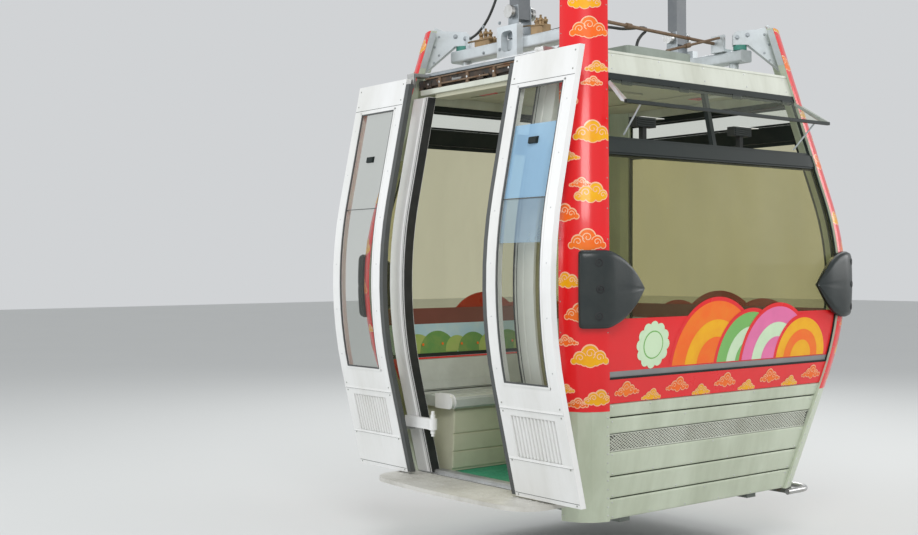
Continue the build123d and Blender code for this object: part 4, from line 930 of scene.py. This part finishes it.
# coil springs
for y0, n, r in ((0.165, 12, 0.009), (-0.285, 9, 0.009)):
    for i in range(n):
        hr.lathe((xf - 0.004, y0 + 0.0062 * i, 2.160 + ZO), (0, 1, 0.15), [(r * 0.7, 0), (r, 0.0012), (r, 0.003), (r * 0.7, 0.0042)], 10)
bevel(hc.done("header_foot_rail", FASCIA, slot="aluminium"), 0.002)
hy.done("header_rods", RUST, slot="steel")
bevel(hd.done("header_plates", MECH, slot="dark_frame"), 0.0015)
hr.done("header_bolts", STEEL, slot="steel")
# lip and groove of the door track
tk = Heap()
xt = -wall_x(2.240) + 0.038 - 0.028
for z0, z1, out in ((2.1955, 2.2005, 0.003), (2.2235, 2.2285, 0.003)):
    tk.box((xt - out, -0.518, z0 + ZO), (xt + 0.002, 0.518, z1 + ZO))
tk.done("track_lips", ALU, slot="aluminium")
tg = Heap()
tg.box((xt - 0.0012, -0.516, 2.2020 + ZO), (xt + 0.001, 0.516, 2.2090 + ZO))
tg.done("track_groove", SHADOW, slot="steel")

# grooves in the sill and tread on the step
gr = Heap()
xs = -(wall_x(0.110) - 0.032)
for i in range(6):
    x = xs - 0.024 + 0.0085 * i
    gr.box((x, -0.425, 0.1182 + ZO), (x + 0.004, 0.425, 0.1202 + ZO))
gr.done("sill_ribs", ALU, slot="aluminium")
tr = Heap()
for i in range(27):
    y = -0.572 + 0.044 * i
    for j in range(4):
        x = -0.885 - 0.058 * j
        yy = y + (0.022 if j % 2 else 0)
        if abs(yy) < 0.60 - 0.9 * max(0.0, -x - 0.98):
            tr.lathe((x, yy, 0.099 + ZO), (0, 0, 1), [(0.0085, -0.0003), (0.0080, 0.0010), (0.006, 0.0014)], 8)
tr.done("step_studs", STEP, slot="step_grey")
edge = Heap()
edge.box((-0.8440, -0.530, 0.0980 + ZO), (-0.8095, 0.530, 0.1035 + ZO))
bevel(edge.done("step_inner_strip", ALU, slot="aluminium"), 0.0015)
joint = Heap()
joint.box((-0.8475, -0.530, 0.0985 + ZO), (-0.8445, 0.530, 0.0998 + ZO))
joint.done("step_joint", SHADOW, slot="step_grey")

# studs on the green floor
st = Heap()
for i in range(34):
    for j in range(17):
        x = -0.75 + 0.0455 * i
        y = -0.375 + 0.0468 * j + (0.0234 if i % 2 else 0)
        if y > 0.385:
            continue
        st.lathe((x, y, 0.102 + ZO), (0, 0, 1), [(0.0105, -0.0004), (0.0098, 0.0010), (0.006, 0.0014)], 8)
st.done("floor_studs", GREEN, slot="green_floor")

# ------------------------------------------------------------------ benches
slat = Heap()
for s in (-1, 1):
    # seat boards with rounded noses
    y0, y1 = 0.334, wall_y(0.445) - 0.05
    n = 4
    for i in range(n):
        a = y0 + (y1 - y0) * i / n + 0.003
        b = y0 + (y1 - y0) * (i + 1) / n - 0.003
        za = 0.502 - (0.010 * (i > 1))
        slat.hexa([(-0.758, s * a, 0.492 + ZO), (0.758, s * a, 0.492 + ZO), (0.758, s * b, 0.492 + ZO), (-0.758, s * b, 0.492 + ZO),
                   (-0.758, s * (a + 0.003), 0.5035 + ZO), (0.758, s * (a + 0.003), 0.5035 + ZO), (0.758, s * (b - 0.003), 0.4985 + ZO), (-0.758, s * (b - 0.003), 0.4985 + ZO)])
    # backrest boards
    for i in range(3):
        za = 0.512 + 0.052 * i
        zb = za + 0.046
        ya_, yb_ = wall_y(za) - 0.112 + 0.018 * i, wall_y(zb) - 0.110 + 0.018 * (i + 1) - 0.006
        slat.hexa([(-0.735, s * (ya_ - 0.006), za + ZO), (0.735, s * (ya_ - 0.006), za + ZO), (0.735, s * (ya_ + 0.006), za + ZO), (-0.735, s * (ya_ + 0.006), za + ZO),
                   (-0.735, s * (yb_ - 0.008), zb + ZO), (0.735, s * (yb_ - 0.008), zb + ZO), (0.735, s * (yb_ + 0.006), zb + ZO), (-0.735, s * (yb_ + 0.006), zb + ZO)])
bevel(slat.done("bench_boards", BENCH, slot="bench_grey"), 0.003)
ba = Heap()
for s in (-1, 1):
    for za, zb in ((0.118, 0.205), (0.212, 0.300), (0.307, 0.428)):
        def Y(z):
            return 0.395 - 0.025 * (z - 0.104) / 0.336
        ba.hexa([(-0.738, s * (Y(za) - 0.006), za + ZO), (0.738, s * (Y(za) - 0.006), za + ZO), (0.738, s * (Y(za) + 0.002), za + ZO), (-0.738, s * (Y(za) + 0.002), za + ZO),
                 (-0.738, s * (Y(zb) - 0.006), zb + ZO), (0.738, s * (Y(zb) - 0.006), zb + ZO), (0.738, s * (Y(zb) + 0.002), zb + ZO), (-0.738, s * (Y(zb) + 0.002), zb + ZO)])
bevel(ba.done("bench_fronts", CREAM_IN, slot="cream_paint"), 0.002)

# rounded end caps of the seats at the doorway
cap = Heap()
for s in (-1, 1):
    ring = []
    outline = [(0.350, 0.446), (0.470, 0.446), (0.470, 0.512), (0.372, 0.514), (0.352, 0.509), (0.338, 0.496), (0.332, 0.478), (0.336, 0.458)]
    for x in (-0.786, -0.7585):
        ring += [(x, s * y, z + ZO) for y, z in outline]
    m2 = len(outline)
    cap.add(ring, [tuple(range(m2)), tuple(range(2 * m2 - 1, m2 - 1, -1))] + [(i, (i + 1) % m2, m2 + (i + 1) % m2, m2 + i) for i in range(m2)])
bevel(cap.done("bench_end_caps", WHITE, slot="bench_grey"), 0.006, 3)

# blank plates under the ceiling
pl = Heap()
pr = Heap()
pl.box((0.560, -0.430, 2.1296 + ZO), (0.640, -0.130, 2.1335 + ZO))
pr.box((0.556, -0.215, 2.1290 + ZO), (0.644, -0.128, 2.1300 + ZO))
pr.box((-0.575, 0.330, 2.1296 + ZO), (-0.425, 0.455, 2.1335 + ZO))
bevel(pl.done("blank_plate_white", PLATE, slot="ceiling"), 0.001)
bevel(pr.done("blank_plate_red", RED, slot="ceiling"), 0.001)

# ------------------------------------------------------------------ ceiling: inlets, lamp, ribs
ce = Heap()
ce.box((-0.20, -0.12, 2.122 + ZO), (0.20, 0.12, 2.1335 + ZO))
for x in (-0.45, 0.45):
    ce.box((x - 0.012, -0.56, 2.126 + ZO), (x + 0.012, 0.56, 2.1335 + ZO))
bevel(ce.done("ceiling_panels", CEIL, slot="ceiling"), 0.003)

lou = Heap()
wing = Heap()
for x in (-0.470, 0.245):
    z = 1.773 + 0.098
    y = -(wall_y(z) - 0.034) - 0.022
    for k in range(4):
        lou.box((x - 0.062, y - 0.004, z - 0.019 + 0.0105 * k + ZO), (x + 0.062, y + 0.001, z - 0.0135 + 0.0105 * k + ZO))
    wing.hexa([(x - 0.030, y + 0.002, z + 0.0235 + ZO), (x + 0.130, y + 0.002, z + 0.0235 + ZO), (x + 0.120, y + 0.042, z + 0.0235 + ZO), (x - 0.030, y + 0.042, z + 0.0235 + ZO),
               (x - 0.030, y + 0.002, z + 0.0275 + ZO), (x + 0.130, y + 0.002, z + 0.0265 + ZO), (x + 0.120, y + 0.042, z + 0.0265 + ZO), (x - 0.030, y + 0.042, z + 0.0275 + ZO)])
bevel(lou.done("inlet_louvres", DARK, slot="dark_frame"), 0.001)
wing.done("inlet_wings", WHITE, slot="dark_frame")

# ------------------------------------------------------------------ roof gear fixings
bolts = Heap()
for sx in (-1, 1):
    xo = sx * 0.6875
    for dy in (-0.065, 0.065):
        for dz in (-0.068, 0.068):
            bolts.bolt((xo, 0.110 + dy, 2.372 + dz + ZO), (sx, 0, 0), 0.0065, 0.008)
    for y in (-0.42, 0.42):
        for dy in (-0.047, 0.047):
            for dx in (-0.036, 0.036):
                bolts.bolt((sx * 0.600 + dx, y + dy, 2.219 + ZO), (0, 0, 1), 0.0055, 0.007)
    for dy in (-0.030, 0.030):
        bolts.bolt((sx * 0.600, -0.012 + dy * 1.0, 2.3725 + ZO), (0, 0, 1), 0.006, 0.008)
ARMQ = math.sqrt(0.5)
OX = END_HALF + bulge(2.370) + (CORNER_R + PROUD - 0.042) * math.cos(math.radians(15)) * ARMQ
OY = SIDE_HALF + bulge(2.370) + (CORNER_R + PROUD - 0.042) * math.cos(math.radians(15)) * ARMQ
for word, sx, sy in CORNERS:
    o = Vector((sx * OX, sy * OY, 0))
    d = Vector((-sx * ARMQ, -sy * ARMQ, 0))
    nrm = d.cross(Vector((0, 0, 1)))
    # columns: distance along the arm, height
    for u, z in ((0.205, 2.428), (0.150, 2.440), (0.060, 2.440), (0.035, 2.385), (0.060, 2.340), (0.032, 2.300)):
        for e in (-1, 1):
            q = o + d * u + nrm * (e * 0.028)
            q.z = z + ZO
            big = u > 0.14
            bolts.bolt(q, nrm * e, 0.0085 if big else 0.0045, 0.010 if big else 0.004)
bolts.done("gear_bolts", GALV, slot="steel")

# brown cable tray along the roof edge on the door side, with saddles
ty = Heap()
ty.box((-0.705, -0.460, 2.1925 + ZO), (-0.657, 0.460, 2.2520 + ZO))
for i in range(7):
    y = -0.43 + 0.143 * i
    ty.box((-0.709, y - 0.012, 2.1925 + ZO), (-0.653, y + 0.012, 2.2555 + ZO))
bevel(ty.done("roof_tray", TRAY, slot="steel"), 0.003)
# brass unions and small pipes over the left beam
va = Heap()
for y, h in ((0.330, 0.030), (0.300, 0.044), (0.262, 0.052), (0.224, 0.040), (0.190, 0.030), (-0.140, 0.046), (-0.170, 0.056), (-0.205, 0.040)):
    z = 2.3725 + (0.030 if abs(y - 0.262) < 0.05 or abs(y + 0.170) < 0.04 else 0.0)
    va.lathe((-0.600, y, z + ZO), (0, 0, 1), [(0.010, 0), (0.010, h * 0.4), (0.013, h * 0.42), (0.013, h * 0.7), (0.006, h * 0.75), (0.006, h)], 8)
va.lathe((-0.632, 0.170, 2.392 + ZO), (0, 1, 0), [(0.005, 0), (0.005, 0.20)], 8)
va.lathe((-0.632, -0.230, 2.396 + ZO), (0, 1, 0.1), [(0.004, 0), (0.004, 0.16)], 8)
va.done("valve_unions", BRASS, slot="service_grey", smooth=True)

# lips on the roof edge
lip = Heap()
for kind, side in WALLS:
    surf = end_pt(side) if kind == "end" else side_pt(side)
    us = spread(-1, 1, 8)
    for ua, ub in zip(us[:-1], us[1:]):
        z0, z1 = 2.188, 2.1995
        hf = wall_half(kind, z0) - 0.004
        lip.hexa([surf(ua * hf, z0, -0.002), surf(ub * hf, z0, -0.002), surf(ub * hf, z1, -0.002), surf(ua * hf, z1, -0.002),
                  surf(ua * hf, z0, 0.003), surf(ub * hf, z0, 0.003), surf(ub * hf, z1, 0.005), surf(ua * hf, z1, 0.005)])
lip.done("roof_lips", FASCIA, slot="roof_paint")

screws.done("screw_heads", ALU, slot="aluminium")
dark_screws.done("dark_screws", CREASE, slot="steel")

# ------------------------------------------------------------------ flap fittings
fl = Heap()
fst = Heap()
fg = Heap()
FOOT_Y, FOOT_Z, FOOT_HALF = 0.9065, 1.942, 0.763
TOP_Z = 2.054
TOP_Y = wall_y(TOP_Z) + 0.016
TOP_HALF = END_HALF + bulge(TOP_Z) - 0.004
for s in (-1,):
    for x in (-0.60, -0.20, 0.20, 0.60):
        fl.box((x - 0.035, min(s * (TOP_Y + 0.0092), s * (TOP_Y + 0.0140)), TOP_Z - 0.020 + ZO), (x + 0.035, max(s * (TOP_Y + 0.0092), s * (TOP_Y + 0.0140)), TOP_Z + 0.004 + ZO))
    for e in (-1, 1):
        # end plates that hold the open flap, from the mullion's top to the flap's foot
        outer = [(TOP_Y - 0.012, TOP_Z - 0.012), (TOP_Y + 0.004, TOP_Z - 0.004), (FOOT_Y + 0.001, FOOT_Z + 0.004), (FOOT_Y - 0.004, FOOT_Z - 0.012), (FOOT_Y - 0.030, FOOT_Z - 0.004)]
        ring = []
        for dx in (0.0, 0.003):
            for y, z in outer:
                f = (z - FOOT_Z) / (TOP_Z - FOOT_Z)
                ring.append((e * (FOOT_HALF + (TOP_HALF - FOOT_HALF) * max(0.0, min(1.0, f)) - 0.004 - dx), s * y, z + ZO))
        m2 = len(outer)
        fst.add(ring, [tuple(range(m2)), tuple(range(2 * m2 - 1, m2 - 1, -1))] + [(i, (i + 1) % m2, m2 + (i + 1) % m2, m2 + i) for i in range(m2)])
        # folding stay between the flap's foot and the mid bar
        a = Vector((e * 0.655, s * (FOOT_Y - 0.004), FOOT_Z - 0.010 + ZO))
        b = Vector((e * 0.640, s * (wall_y(1.80) - 0.010), 1.800 + ZO))
        d = b - a
        fst.lathe(a, d, [(0.0045, 0), (0.0045, d.length)], 8)
    # rubber bead along the foot rail
    fg.box((-FOOT_HALF + 0.004, min(s * (FOOT_Y - 0.006), s * (FOOT_Y - 0.001)), FOOT_Z - 0.015 + ZO), (FOOT_HALF - 0.004, max(s * (FOOT_Y - 0.006), s * (FOOT_Y - 0.001)), FOOT_Z - 0.002 + ZO))
bevel(fl.done("flap_hinges", DARK, slot="dark_frame"), 0.0015)
fst.done("flap_stays", SILVER, slot="aluminium")
fg.done("flap_beads", BLACK, slot="dark_frame")

# ------------------------------------------------------------------ stage
def plane(name, pts, material):
    me = bpy.data.meshes.new(name)
    me.from_pydata(pts, [], [tuple(range(len(pts)))])
    me.materials.append(material)
    ob = bpy.data.objects.new(name, me)
    bpy.context.scene.collection.objects.link(ob)
    return ob


FLOOR = mat("stage_floor", (0.62, 0.63, 0.62), 0.75, scale=0.5, vary=0.0, dirt=(0.60, 0.61, 0.60), dirt_amt=0.3)
zf = -4.30
plane("stage_floor", [(-40, -40, zf), (40, -40, zf), (40, 40, zf), (-40, 40, zf)], FLOOR)

world = bpy.data.worlds.new("world")
bpy.context.scene.world = world
bpy.context.scene.view_settings.view_transform = "Standard"
world.use_nodes = True
bg = world.node_tree.nodes["Background"]
bg.inputs["Color"].default_value = (0.86, 0.88, 0.90, 1)
bg.inputs["Strength"].default_value = 0.74


def lamp(name, loc, target, size, power, colour=(1, 1, 1)):
    d = bpy.data.lights.new(name, "AREA")
    d.shape = "RECTANGLE"
    d.size, d.size_y = size
    d.energy = power
    d.color = colour
    o = bpy.data.objects.new(name, d)
    bpy.context.scene.collection.objects.link(o)
    o.location = loc
    o.rotation_euler = (Vector(target) - Vector(loc)).to_track_quat("-Z", "Y").to_euler()
    return o


lamp("key", (-5.5, -6.5, 2.5), (0, 0, -2.8), (4.0, 3.0), 400)
lamp("fill", (-7.5, 3.5, -0.5), (0, 0, -2.8), (4.0, 3.0), 180, (0.94, 0.97, 1.0))
lamp("rim", (5.0, 5.0, 2.0), (0, 0, -2.6), (4.0, 3.0), 260)
lamp("right", (6.5, -4.0, -1.0), (0, 0, -2.8), (3.0, 3.0), 160)
